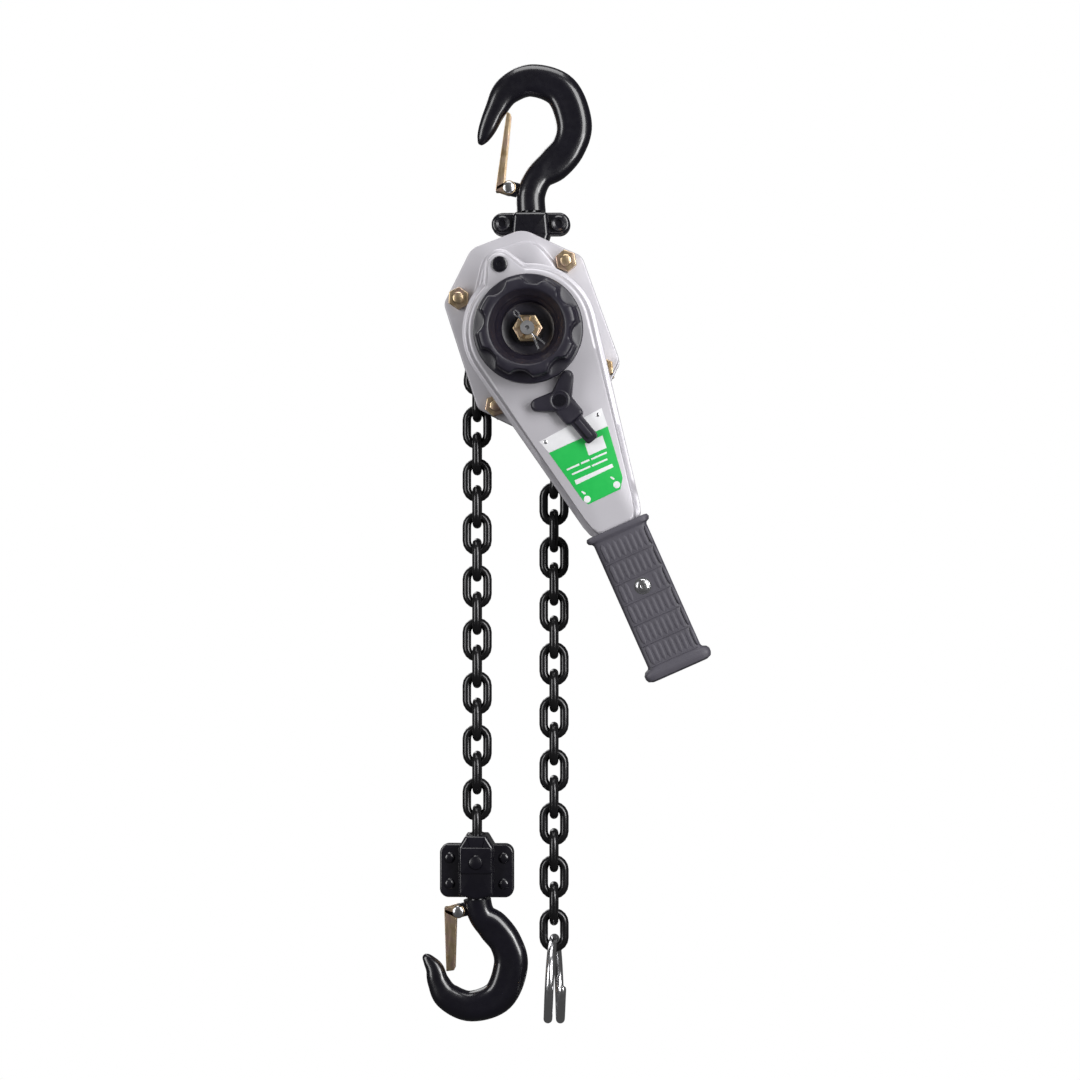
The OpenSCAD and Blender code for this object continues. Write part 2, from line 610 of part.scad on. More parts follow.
// ---- end ring: a lapped ring of bar, one and a quarter turns ----
ring_bar = 6;
ring_mean = 27;
ring_z = ring_hang_z + wire_d + 0.25 - ring_mean;
ring_turns = 1.25;
ring_shift = 8.4;                        // sideways travel in one turn
ring_steps = 40;
function ring_at(t) = let (a = 360 * ring_turns * t)
    [tail_x + 6.3 - ring_shift * ring_turns * t, -ring_mean * cos(a), ring_z - ring_mean * sin(a)];
function ring_section(i) = let (t = i / ring_steps, a = 360 * ring_turns * t, c = ring_at(t),
    r = ring_bar / 2 * (i == 0 || i == ring_steps ? 0.55 : 1))
    [for (k = [0 : 7]) let (q = 45 * k)
        c + r * [cos(q), -sin(q) * cos(a), -sin(q) * sin(a)]];
module end_ring() color(steel) swept([for (i = [0 : ring_steps]) ring_section(i)]);

top_hook();
top_latch();
top_latch_rivet();
top_yoke_front();
top_yoke_back();
top_yoke_bolts();
top_yoke_pin();
front_side_plate();
back_side_plate();
stay_bolts();
stay_nuts();
stay_spacers();
brake_cover();
gear_cover();
ratchet_disc();
brake_pawl_pins();
brake_pawl_left();
brake_pawl_right();
guide_roller();
guide_roller_pin();
chain_on_sheave();
load_sheave();
load_gear();
drive_shaft();
brake_hub();
friction_discs();
lever_gear();
handwheel();
wheel_washer();
castle_nut();
cotter_pin();
intermediate_gear_left();
intermediate_gear_right();
lever_back_shell();
lever_front_shell();
lever_plug();
lever_label();
grip();
grip_screw();
selector_knob();
selector_shaft();
lever_pawl();
load_chain_upper();
load_chain_lower();
block_front();
block_back();
block_rivets();
chain_pin();
bottom_hook();
bottom_latch();
bottom_latch_rivet();
tail_chain_upper();
tail_chain_lower();
end_ring();
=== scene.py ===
import json
import math

import bpy
import numpy as np
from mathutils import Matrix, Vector


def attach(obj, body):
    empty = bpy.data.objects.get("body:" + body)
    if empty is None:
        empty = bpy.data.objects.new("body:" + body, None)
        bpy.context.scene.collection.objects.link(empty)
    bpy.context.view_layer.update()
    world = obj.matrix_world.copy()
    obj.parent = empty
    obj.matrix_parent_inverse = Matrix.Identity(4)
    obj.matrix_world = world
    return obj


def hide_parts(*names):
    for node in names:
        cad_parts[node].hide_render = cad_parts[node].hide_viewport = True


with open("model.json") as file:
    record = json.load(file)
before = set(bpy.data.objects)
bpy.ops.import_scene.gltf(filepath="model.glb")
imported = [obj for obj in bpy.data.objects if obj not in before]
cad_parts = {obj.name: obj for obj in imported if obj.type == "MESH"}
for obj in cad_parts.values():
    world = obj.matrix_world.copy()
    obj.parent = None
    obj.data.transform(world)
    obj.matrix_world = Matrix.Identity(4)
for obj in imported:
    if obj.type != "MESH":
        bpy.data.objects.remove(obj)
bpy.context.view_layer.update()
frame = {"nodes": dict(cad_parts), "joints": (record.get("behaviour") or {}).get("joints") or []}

# Studio. The hoist hangs in front of plain white; soft boxes light it from both sides, above and
# behind while the rest of the room is dim, so that black paint stays black. The camera stands
# level with its middle, a little right of the handwheel.

MM = 0.001
DIM_SURROUND = 0.07
joint_at = {j["name"]: np.array(j["pos_m"]) / MM for j in frame["joints"] if "pos_m" in j}
AXIS = joint_at["lever_swing"]
LOAD_X = joint_at["load_run_swing"][0]
TAIL_X = joint_at["tail_run_sway"][0]


def turn(degrees, u, v):
    """A point of a plane turned anticlockwise, as the front sees it, about the drive axis."""
    c, s = math.cos(math.radians(degrees)), math.sin(math.radians(degrees))
    return AXIS[0] + u * c - v * s, AXIS[2] + u * s + v * c


def add_mesh(name, points, faces, finish, body, stands_for=(), slot=None, smooth=True, sharp=35):
    """Points in millimetres and faces as lists of indices become one piece on a body."""
    mesh = bpy.data.meshes.new(name)
    mesh.from_pydata((np.asarray(points, float) * MM).tolist(), [], [list(f) for f in faces])
    mesh.validate()
    mesh.polygons.foreach_set("use_smooth", [smooth] * len(mesh.polygons))
    if smooth:
        mesh.set_sharp_from_angle(angle=math.radians(sharp))
    mesh.materials.append(finish)
    piece = bpy.data.objects.new(name, mesh)
    bpy.context.scene.collection.objects.link(piece)
    if body:
        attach(piece, body)
    if stands_for:
        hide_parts(*stands_for)
    return piece


def grid_faces(rings, around, ring_loop=False):
    """Quads of a grid that closes round each ring, and from the last ring to the first if asked."""
    i, k = np.meshgrid(np.arange(rings if ring_loop else rings - 1), np.arange(around), indexing="ij")
    i2, k2 = (i + 1) % rings, (k + 1) % around
    quads = [i * around + k, i2 * around + k, i2 * around + k2, i * around + k2]
    return np.stack(quads, -1).reshape(-1, 4)


def shell(rings, ring_loop=False, flip=False):
    """Rings of points joined to a closed skin. Without a loop, each end is closed by a centre point."""
    rings = np.asarray(rings, float)
    m, n = rings.shape[:2]
    points = rings.reshape(-1, 3)
    faces = [tuple(f) for f in grid_faces(m, n, ring_loop)]
    if not ring_loop:
        points = np.vstack([points, rings[0].mean(0), rings[-1].mean(0)])
        faces += [(m * n, k, (k + 1) % n) for k in range(n)]
        faces += [(m * n + 1, (m - 1) * n + (k + 1) % n, (m - 1) * n + k) for k in range(n)]
    return points, [f[::-1] for f in faces] if flip else faces


def outward(points, faces):
    """The same skin with its faces turned to point out, judged by its signed volume."""
    p = np.asarray(points)
    volume = sum(np.dot(p[f[0]], np.cross(p[f[k]], p[f[k + 1]])) for f in faces
                 for k in range(1, len(f) - 1))
    return points, faces if volume > 0 else [f[::-1] for f in faces]


def join(*skins):
    """Several skins as one list of points and faces."""
    points, faces, at = [], [], 0
    for p, f in skins:
        points.append(np.asarray(p))
        faces += [tuple(int(i) + at for i in face) for face in f]
        at += len(p)
    return np.vstack(points), faces


class Value:
    """A number worked out in a material. Sums and products of it add Math nodes."""

    def __init__(self, tree, out):
        self.tree, self.out = tree, out

    def _maths(self, operation, a, b):
        node = self.tree.nodes.new("ShaderNodeMath")
        node.operation = operation
        for socket, value in zip(node.inputs, (a, b)):
            if isinstance(value, Value):
                self.tree.links.new(value.out, socket)
            else:
                socket.default_value = value
        return Value(self.tree, node.outputs[0])

    def __add__(self, other):
        return self._maths("ADD", self, other)

    def __sub__(self, other):
        return self._maths("SUBTRACT", self, other)

    def __mul__(self, other):
        return self._maths("MULTIPLY", self, other)

    def __rsub__(self, other):
        return self._maths("SUBTRACT", other, self)

    __radd__, __rmul__ = __add__, __mul__


class Finish:
    """A material round one Principled shader; node() adds any other node and gives its output."""

    def __init__(self, name, **sockets):
        self.material = bpy.data.materials.new(name)
        self.material.use_nodes = True
        self.tree = self.material.node_tree
        self.shader = self.tree.nodes["Principled BSDF"]
        self.connect(self.shader, sockets)
        coords = self.tree.nodes.new("ShaderNodeTexCoord")
        self.place = Value(self.tree, coords.outputs["Object"])

    def connect(self, node, values):
        for key, value in values.items():
            socket = node.inputs[key if isinstance(key, int) else key.replace("_", " ")]
            if isinstance(value, Value):
                self.tree.links.new(value.out, socket)
            else:
                socket.default_value = value

    def node(self, kind, settings=None, values=None, out=0):
        node = self.tree.nodes.new(kind)
        for key, value in (settings or {}).items():
            if key == "stops":
                ramp = node.color_ramp.elements
                for i, (position, colour) in enumerate(value):
                    stop = ramp[i] if i < 2 else ramp.new(position)
                    stop.position, stop.color = position, (*colour, 1)
            else:
                setattr(node, key, value)
        self.connect(node, values or {})
        return Value(self.tree, node.outputs[out])

    def stretched(self, scale):
        """Object coordinates stretched by a factor on each axis."""
        return self.node("ShaderNodeMapping", None, {"Vector": self.place, "Scale": scale})

    def noise(self, scale, detail=3.0, rough=0.55, place=None):
        values = {"Vector": place or self.place, "Scale": scale, "Detail": detail, "Roughness": rough}
        return self.node("ShaderNodeTexNoise", None, values, "Fac")

    def ramp(self, value, *stops):
        return self.node("ShaderNodeValToRGB", {"stops": stops}, {"Fac": value})

    def tint(self, factor, a, b):
        """A colour between a and b."""
        colour = lambda c: c if isinstance(c, Value) else (*c, 1)
        return self.node("ShaderNodeMix", {"data_type": "RGBA"},
                         {0: factor, 6: colour(a), 7: colour(b)}, 2)

    def bump(self, height, strength, distance):
        normal = self.node("ShaderNodeBump", None,
                           {"Strength": strength, "Distance": distance, "Height": height})
        self.connect(self.shader, {"Normal": normal})


world = bpy.data.worlds.new("studio_world")
bpy.context.scene.world = world
world.use_nodes = True
light_path = world.node_tree.nodes.new("ShaderNodeLightPath")
seen = world.node_tree.nodes.new("ShaderNodeMapRange")
seen.inputs["To Min"].default_value, seen.inputs["To Max"].default_value = DIM_SURROUND, 1.0
background = world.node_tree.nodes["Background"]
background.inputs["Color"].default_value = (1, 1, 1, 1)
world.node_tree.links.new(light_path.outputs["Is Camera Ray"], seen.inputs["Value"])
world.node_tree.links.new(seen.outputs["Result"], background.inputs["Strength"])
bpy.context.scene.view_settings.view_transform = "Standard"


def soft_box(name, place, size, power):
    lamp = bpy.data.lights.new(name, "AREA")
    lamp.shape, lamp.size, lamp.size_y, lamp.energy = "RECTANGLE", size[0], size[1], power
    box = bpy.data.objects.new(name, lamp)
    box.location = place
    middle = Vector((0, 0, -0.3))
    box.rotation_euler = (middle - Vector(place)).to_track_quat("-Z", "Y").to_euler()
    bpy.context.scene.collection.objects.link(box)


soft_box("key_box", (1.1, -1.5, 0.5), (0.9, 1.3), 26)
soft_box("side_box", (0.85, -0.85, -0.3), (0.35, 0.5), 6)
soft_box("fill_box", (-1.4, -1.3, -0.1), (0.7, 1.4), 17)
soft_box("top_box", (0.0, -0.2, 1.3), (1.2, 1.0), 14)
soft_box("back_box", (-0.7, 1.1, 0.5), (1.0, 1.2), 10)

LOOK_AT = Vector((0.0061, 0.0, -0.300))
CAMERA_YAW, CAMERA_DISTANCE, CAMERA_VIEW = math.radians(2.5), 1.8, 0.7307
SENSOR = 36.0
camera_data = bpy.data.cameras.new("camera")
camera_data.sensor_width = SENSOR
camera_data.lens = SENSOR * CAMERA_DISTANCE / CAMERA_VIEW
camera = bpy.data.objects.new("camera", camera_data)
camera.location = LOOK_AT + CAMERA_DISTANCE * Vector((math.sin(CAMERA_YAW), -math.cos(CAMERA_YAW), 0))
camera.rotation_euler = (LOOK_AT - camera.location).to_track_quat("-Z", "Y").to_euler()
bpy.context.scene.collection.objects.link(camera)
bpy.context.scene.camera = camera

# Hooks. Drop-forged alloy steel, ground round the flash line, dipped in gloss black enamel.
# Each has a turned shank whose head is held by the top yoke or the bottom block, and a lug for
# the latch rivet.


def enamel():
    """Thick gloss black enamel with the forging's skin faintly showing through."""
    f = Finish("black_enamel", Metallic=0.0, Coat_Weight=0.6, Coat_Roughness=0.08)
    skin, mottle = f.noise(260, 4), f.noise(30, 3)
    f.connect(f.shader, {
        "Base Color": f.tint(mottle, (0.0015, 0.0013, 0.0025), (0.005, 0.004, 0.01)),
        "Roughness": f.node("ShaderNodeMapRange", None, {0: skin, 3: 0.2, 4: 0.36}),
    })
    f.bump(skin * 0.2 + mottle, 0.2, 0.0006)
    return f.material


black_enamel = enamel()

# x, z, half width in the hook's plane and half depth across it, from the neck to the point;
# the load seat is at the origin and the shank runs towards -z
HOOK_STATIONS = np.array([
    (0, -78, 10, 10), (0, -66, 9.8, 9.6), (5.5, -54, 9.6, 9), (16, -45.5, 11.6, 8.6),
    (25.6, -34, 11.5, 8.6), (29, -18, 12.2, 8.8), (20.6, 3.4, 11.8, 8.8), (0.6, 10.9, 10.8, 8.6),
    (-15.8, 4.4, 9.8, 8), (-24.2, -9, 7.5, 6.8), (-29.5, -20.8, 6.2, 5.6), (-32.4, -27.4, 4.5, 4.2),
    (-34, -31, 2.5, 2.6), (-34.6, -32.3, 1.1, 1.2)])
BOTTOM_POINT = np.array([
    (-27.6, -6, 7.8, 6.8), (-30.2, -15, 6.5, 5.8), (-34, -20.8, 4.6, 4.3), (-36.8, -24.2, 2.8, 2.8),
    (-37.8, -25.6, 1.1, 1.1)])
NECK_AT = -66.0
BOTTOM_SCALE, BOTTOM_LEAN = 0.95, 5
TOP_PIVOT, BOTTOM_PIVOT = (-14.7, -62.0), (-13.2, -57.0)
BOTTOM_SEAT = joint_at["bottom_latch_hinge"][2] + BOTTOM_PIVOT[1] * BOTTOM_SCALE


def through(stations, steps):
    """A Catmull-Rom curve through the stations, with so many steps from each to the next."""
    p = np.vstack([stations[:1], stations, stations[-1:]])
    t = np.linspace(0, 1, steps, endpoint=False)[None, :, None]
    a, b, c, d = (p[i:len(p) - 3 + i, None, :] for i in range(4))
    curve = 0.5 * (2 * b + (c - a) * t + (2 * a - 5 * b + 4 * c - d) * t ** 2
                   + (3 * b - a - 3 * c + d) * t ** 3)
    return np.vstack([curve.reshape(-1, stations.shape[1]), stations[-1:]])


def hook_skin(stations, sides=44):
    """An oval with flattened cheeks is carried along the hook's middle line, square to it. The
    cheeks sink a little between the inner and the outer rim where the hook is widest."""
    p = through(stations, 9)
    along = np.gradient(p[:, :2], axis=0)
    along /= np.linalg.norm(along, axis=1)[:, None]
    a = np.linspace(0, 2 * math.pi, sides, endpoint=False)
    wide = np.sign(np.cos(a)) * np.abs(np.cos(a)) ** 0.88
    deep = np.sign(np.sin(a)) * np.abs(np.sin(a)) ** 0.78
    hollow = 0.14 * np.clip((p[:, 2] - 9.9) / 2.0, 0, 1)[:, None] * np.exp(-((wide + 0.1) / 0.42) ** 2)
    x = p[:, 0, None] + along[:, 1, None] * wide * p[:, 2, None]
    z = p[:, 1, None] - along[:, 0, None] * wide * p[:, 2, None]
    y = deep * p[:, 3, None] * (1 - hollow)
    return np.stack([x, y, z], -1)


def turned(profile, centre, steps=64, along="z", ring_loop=False):
    """A profile of (radius, height) pairs turned about an axis through the centre."""
    a = np.linspace(0, 2 * math.pi, steps, endpoint=False)
    r, h = np.array(profile, float).T
    flat = r[:, None] * np.cos(a), r[:, None] * np.sin(a), np.repeat(h[:, None], steps, 1)
    rings = np.stack((flat[0], flat[1], flat[2]) if along == "z" else (flat[0], flat[2], flat[1]), -1)
    return outward(*shell(rings + np.asarray(centre, float), ring_loop))


def lug_skin(pivot, half=3.3, radius=4.7, reach=10.0):
    """A round-ended slab from the latch pivot to the shank, its edges eased."""
    return pressed(belt([(*pivot, radius), (pivot[0] + reach, pivot[1] - 2.5, radius)]), -half, half, 0.8)


def belt(circles, count=96):
    """The outline of a belt round circles (x, y, radius): at each heading, the furthest circle's rim."""
    a = np.linspace(0, 2 * math.pi, count, endpoint=False)
    c = np.array(circles, float)
    heading = np.stack([np.cos(a), np.sin(a)], -1)
    furthest = (heading @ c[:, :2].T + c[:, 2]).argmax(1)
    return c[furthest, :2] + c[furthest, 2, None] * heading


def inset(outline, by):
    """The outline moved inwards along its corners' own normals."""
    step = np.roll(outline, -1, 0) - np.roll(outline, 1, 0)
    normal = np.stack([step[:, 1], -step[:, 0]], -1) / np.linalg.norm(step, axis=1)[:, None]
    return outline - normal * by


def ring_at(outline, y):
    return np.column_stack([outline[:, 0], np.full(len(outline), y), outline[:, 1]])


def pressed(outline, y_front, y_back, ease, back_ease=None):
    """A flat piece of this outline whose front and back edges are quarter rounds."""
    a = np.linspace(0, math.pi / 2, 5)
    back = ease if back_ease is None else back_ease
    rings = [ring_at(inset(outline, ease * (1 - math.sin(t))), y_front + ease * (1 - math.cos(t)))
             for t in a]
    rings += [ring_at(inset(outline, back * (1 - math.cos(t))), y_back - back * (1 - math.sin(t)))
              for t in a]
    return outward(*shell(rings))


hook_top = join(outward(*shell(hook_skin(HOOK_STATIONS))), lug_skin(TOP_PIVOT),
                turned([(7, -76), (7, -86), (9.5, -86.2), (9.5, -90.3), (9, -90.5)], (0, 0, 0)))
add_mesh("forged_top_hook", *hook_top, black_enamel, "top_hook", ["top_hook"], "black_paint")

bowl = HOOK_STATIONS[:9].copy()
bowl[2:, 0] -= BOTTOM_LEAN * np.clip((bowl[2:, 1] + 62) / 20, 0, 1)
low_rings = hook_skin(np.vstack([bowl, BOTTOM_POINT]))
low_rings = low_rings[low_rings[:, :, 2].max(1) > NECK_AT]
low_rings[:, :, 2] = np.maximum(low_rings[:, :, 2], NECK_AT)
hook_low = join(outward(*shell(low_rings)), lug_skin(BOTTOM_PIVOT),
                turned([(7, -63), (7, -72), (9.3, -72.2), (9.3, -76.4), (9, -76.5)], (0, 0, 0)))
low_points = hook_low[0] * [BOTTOM_SCALE, BOTTOM_SCALE, -BOTTOM_SCALE] + [LOAD_X, 0, BOTTOM_SEAT]
add_mesh("forged_bottom_hook", low_points, [f[::-1] for f in hook_low[1]], black_enamel,
         "bottom_hook", ["bottom_hook"], "black_paint")

# Latches. Pressed from strip with two cheeks, yellow zinc plated, held by a bright rivet with a
# torsion spring wound on it that closes the mouth.


def zinc_plate():
    """Yellow passivate: gold that drifts to rose and pale brass, over a rolled surface."""
    f = Finish("yellow_zinc", Metallic=1.0)
    cloud, grain = f.noise(120, 3), f.noise(700, 2, place=f.stretched((1, 1, 0.15)))
    f.connect(f.shader, {
        "Base Color": f.ramp(cloud, (0.3, (0.5, 0.34, 0.18)), (0.5, (0.72, 0.56, 0.36)),
                             (0.7, (0.7, 0.48, 0.4))),
        "Roughness": f.node("ShaderNodeMapRange", None, {0: grain, 3: 0.24, 4: 0.42}),
    })
    f.bump(grain, 0.15, 0.0002)
    return f.material


def bright_plate():
    f = Finish("bright_plate", Metallic=1.0, Base_Color=(0.82, 0.82, 0.84, 1))
    wear = f.noise(300, 4)
    f.connect(f.shader, {"Roughness": f.node("ShaderNodeMapRange", None, {0: wear, 3: 0.1, 4: 0.32})})
    f.bump(wear, 0.12, 0.0002)
    return f.material


yellow_zinc, bright = zinc_plate(), bright_plate()


def latch_skin(pivot, tip, back, root, end, half=5.7, sheet=0.9):
    """Two cheeks, round at the pivot and tapering to the tip, and a web, bent from one strip."""
    px, pz = pivot
    ear = belt([(px, pz, 4.7), (px + 2.3 - back, pz - 0.5, 2.0)])
    wing = belt([(px + 0.7 - back, pz - 1.2, 0.7), (px - 0.6 - back + root, pz + 1.4, 0.7),
                 (tip[0] + end - 1.4, tip[1] - 2.0, 1.4),
                 (tip[0] + 0.8, tip[1] - 0.8, 0.7)])
    sides = [pressed(edge, s * (half - sheet) - sheet, s * (half - sheet) + sheet, 0.35)
             for s in (-1, 1) for edge in (ear, wing)]
    t = np.linspace(0, 1, 14)
    left = np.array([px - back, pz - 2.5]) + t[:, None] * (np.array(tip) - [px - back, pz - 2.5])
    width = half * (1 - 0.28 * t ** 2)
    thick = 2.0 - 0.3 * t
    a = np.linspace(0, 2 * math.pi, 24, endpoint=False)
    flat = np.sign(np.cos(a)) * np.abs(np.cos(a)) ** 0.25, np.sign(np.sin(a)) * np.abs(np.sin(a)) ** 0.25
    x = left[:, 0, None] + thick[:, None] / 2 * (1 + flat[0])
    y = width[:, None] * flat[1]
    z = np.repeat(left[:, 1, None], 24, 1)
    return join(*sides, outward(*shell(np.stack([x, y, z], -1))))


def rivet_skin(pivot):
    """A rivet: a shank with two low domed heads."""
    dome = [(4.2 * math.sin(t), 5.9 + 1.3 * math.cos(t)) for t in np.linspace(1.57, 0.1, 6)]
    return turned([(r, -h) for r, h in dome[::-1]] + [(2.2, -5.8), (2.2, 5.8)] + dome,
                  (pivot[0], 0, pivot[1]), 32, "y")


def tube(path, radius, sides=12, loop=False):
    """A round tube along a path of points; its section keeps to a steady frame."""
    path = np.asarray(path, float)
    along = np.roll(path, -1, 0) - np.roll(path, 1, 0) if loop else np.gradient(path, axis=0)
    along /= np.linalg.norm(along, axis=1)[:, None]
    up = np.array([0.0, 1.0, 0.0]) if np.abs(along[:, 1]).max() < 0.9 else np.array([1.0, 0, 0])
    side = np.cross(along, up)
    side /= np.linalg.norm(side, axis=1)[:, None]
    over = np.cross(side, along)
    a = np.linspace(0, 2 * math.pi, sides, endpoint=False)
    r = np.asarray(radius)[:, None, None]
    rings = path[:, None] + r * (np.cos(a)[:, None] * side[:, None] + np.sin(a)[:, None] * over[:, None])
    return outward(*shell(rings, loop))


def on_bottom(skin):
    points = skin[0] * [BOTTOM_SCALE, BOTTOM_SCALE, -BOTTOM_SCALE] + [LOAD_X, 0, BOTTOM_SEAT]
    return points, [f[::-1] for f in skin[1]]


add_mesh("top_latch_strip", *latch_skin(TOP_PIVOT, (-16.4, -11.2), 9.0, 5.6, 3.0), yellow_zinc, "top_latch",
         ["top_latch"], "zinc")
add_mesh("top_latch_pin", *rivet_skin(TOP_PIVOT), bright, "top_latch", ["top_latch_rivet"], "bright")
bottom_strip = latch_skin(BOTTOM_PIVOT, (-21.8, -14.6), 9.9, 8.6, 6.2)
add_mesh("bottom_latch_strip", *on_bottom(bottom_strip), yellow_zinc,
         "bottom_latch", ["bottom_latch"], "zinc")
add_mesh("bottom_latch_pin", *on_bottom(rivet_skin(BOTTOM_PIVOT)), bright, "bottom_latch",
         ["bottom_latch_rivet"], "bright")

# Top yoke. Two forged halves clamp the hook's head; two bolts hold them together through round
# ears, and the load pin passes through the eye below. Black enamel all over.

EAR_X, EAR_Z, YOKE_TOP, PIN_Z = 19.0, -86.7, -79.0, joint_at["housing_tilt"][2]


def yoke_half(side):
    """The central body, waisted above the ears, and the ear bar, pressed to one side of the split."""
    body = belt([(-9, YOKE_TOP - 3, 3), (9, YOKE_TOP - 3, 3), (10.5, -94, 2.5), (-10.5, -94, 2.5),
                 (0, PIN_Z, 9.5)])
    ears = belt([(-EAR_X, EAR_Z, 7.6), (EAR_X, EAR_Z, 7.6)])
    depth = sorted((side * 0.1, side * 11.4)), sorted((side * 0.1, side * 7.0))
    eases = (3.0, 0.2) if side < 0 else (0.2, 3.0)
    return join(pressed(body, *depth[0], *eases), pressed(ears, *depth[1], *[e * 0.8 for e in eases]))


for side, label in ((-1, "front"), (1, "back")):
    add_mesh(f"forged_yoke_{label}", *yoke_half(side), black_enamel, "top_yoke",
             [f"top_yoke_{label}"], "black_paint")


def bolt_skin(x, z):
    """A cap screw: domed round head with a hexagon socket in front, a hexagon nut behind."""
    head = turned([(0.05, -8.2), (2.3, -8.3), (2.4, -10.2), (4.0, -10.6), (5.0, -10.0), (5.2, -9.0),
                   (5.2, -7.0), (3.0, -7.0), (3.0, 7.0), (3.0, 9.8), (0.05, 10)], (x, 0, z), 40, "y")
    nut = pressed(polygon(x, z, 5.6, 6), 7.0, 10.9, 0.5)
    return join(head, nut)


def polygon(x, z, radius, sides, phase=0.0, per_side=6):
    """A regular polygon with points along each side, so that its edges can be eased."""
    a = np.linspace(0, 2 * math.pi, sides, endpoint=False) + math.radians(phase)
    corners = np.stack([x + radius * np.cos(a), z + radius * np.sin(a)], -1)
    t = np.linspace(0, 1, per_side, endpoint=False)[None, :, None]
    return (corners[:, None] * (1 - t) + np.roll(corners, -1, 0)[:, None] * t).reshape(-1, 2)


add_mesh("yoke_screws", *join(*[bolt_skin(s * EAR_X, EAR_Z) for s in (-1, 1)]), black_enamel,
         "top_yoke", ["top_yoke_bolts"], "black_paint")

# Housing. Two steel side plates with a pressed brake cover in front and the gear cover behind,
# all powder coated silver grey and drawn together by four stay bolts with zinc plated nuts.

BODY_TILT = 19.0


def powder_coat():
    """Silver-grey powder coat: a fine orange peel, faint mottling and a trace of handling dirt."""
    f = Finish("grey_powder_coat", Metallic=0.25, Coat_Weight=0.15, Coat_Roughness=0.3)
    peel, cloud, dirt = f.noise(900, 2), f.noise(14, 3), f.noise(55, 5, 0.7)
    shade = f.tint(cloud, (0.50, 0.485, 0.52), (0.55, 0.535, 0.57))
    grime = f.ramp(dirt, (0.66, (0, 0, 0)), (0.8, (1, 1, 1)))
    f.connect(f.shader, {
        "Base Color": f.tint(grime * 0.12, shade, (0.3, 0.29, 0.3)),
        "Roughness": f.node("ShaderNodeMapRange", None, {0: cloud, 3: 0.34, 4: 0.46}),
    })
    f.bump(peel * 0.4 + dirt * 0.5, 0.18, 0.0003)
    return f.material


grey_coat = powder_coat()
PLATE_CORNERS = [(24, 65, 16), (47.5, 41, 8), (49, -38, 6), (33, -54, 7), (-33, -54, 7),
                 (-49, -38, 6), (-47.5, 41, 7), (-24, 65, 12)]
STAY_AT = 38.0
HEADINGS = np.radians(np.arange(0, 360, 1.25))


def plate_belt():
    """The plates' outline: a belt round a circle in each corner."""
    return belt([(x - 0.8 * r * np.sign(x), z - 0.8 * r * np.sign(z), r) for x, z, r in PLATE_CORNERS], 288)


def reach(outline):
    """How far an outline round the origin lies from it, at each of the headings."""
    t = np.linspace(0, 1, 24, endpoint=False)[None, :, None]
    dense = (outline[:, None] * (1 - t) + np.roll(outline, -1, 0)[:, None] * t).reshape(-1, 2)
    a = np.arctan2(dense[:, 1], dense[:, 0])
    order = np.argsort(a)
    return np.interp((HEADINGS + math.pi) % (2 * math.pi) - math.pi, a[order],
                     np.hypot(*dense[order].T), period=2 * math.pi)


def polar_ring(radius, y, degrees):
    """A ring about the drive axis with this radius at each heading, turned with its part."""
    r = np.broadcast_to(radius, HEADINGS.shape)
    x, z = turn(degrees, r * np.cos(HEADINGS), r * np.sin(HEADINGS))
    return np.stack([x, np.full(len(HEADINGS), y), z], -1)


def stepped(levels, degrees):
    """A pressing about the drive axis, as a closed run of (reach, y) levels from rim to bore and back."""
    return outward(*shell([polar_ring(r, y, degrees) for r, y in levels], True))


def soften(radius, width):
    """Evens out a reach with a running average, so that corners are drawn round."""
    k = np.ones(width) / width
    return np.convolve(np.r_[radius[-width:], radius, radius[:width]], k, "same")[width:-width]


plate = reach(plate_belt())
step = soften(reach(belt([(0, 0, 42), (-4, 45, 15), (12, 45, 15)], 288)), 5)
for node, y0, y1 in (("front_side_plate", -17.0, -12.0), ("back_side_plate", 12.0, 17.0)):
    levels = [(plate - 0.7, y0), (plate - 0.1, y0 + 0.3), (plate, y0 + 0.8), (plate, y1 - 0.8),
              (plate - 0.1, y1 - 0.3), (plate - 0.7, y1), (14.06, y1), (14.06, y0)]
    add_mesh(f"steel_{node}", *stepped(levels, BODY_TILT), grey_coat, "housing", [node], "grey_paint")
cover = [(plate - 0.6, -17.0), (plate, -17.3), (plate, -18.6), (plate - 0.5, -19.25),
         (plate - 1.3, -19.5), (step + 2.2, -19.6), (step + 0.9, -20.0), (step, -21.2),
         (step - 0.5, -23.2), (step - 1.4, -24.5), (step - 3.0, -25.0)]
cover += [(40.2 - 0.5 * i, y) for i, y in enumerate((-25.1, -25.6, -28.0, -28.9, -29.3))]
cover += [(35, -29.4), (14.2, -29.4), (14.0, -28), (14.0, -17.2), (38, -17.1)]
add_mesh("pressed_brake_cover", *stepped(cover, BODY_TILT), grey_coat, "housing", ["brake_cover"],
         "grey_paint")
drum = soften(reach(belt([(-6, 0, 41), (6, 0, 41)], 288)), 5)
case = [(plate - 0.6, 17.1), (plate, 17.4), (plate, 18.6), (plate - 0.5, 19.3), (plate - 1.3, 19.5),
        (drum + 2.0, 19.6), (drum + 0.7, 20.2), (drum, 21.5), (drum, 38.0), (drum - 0.8, 41.0),
        (drum - 2.6, 43.2), (drum - 5.0, 44.0), (drum * 0.62, 44.0), (drum * 0.6, 43.4),
        (drum * 0.2, 43.2)]
case = case + [(0.4, 43.2), (0.4, 41.6), (drum - 3.5, 41.6), (drum - 2, 40), (drum - 2, 17.1)]
add_mesh("pressed_gear_cover", *stepped(case, BODY_TILT), grey_coat, "housing", ["gear_cover"],
         "grey_paint")


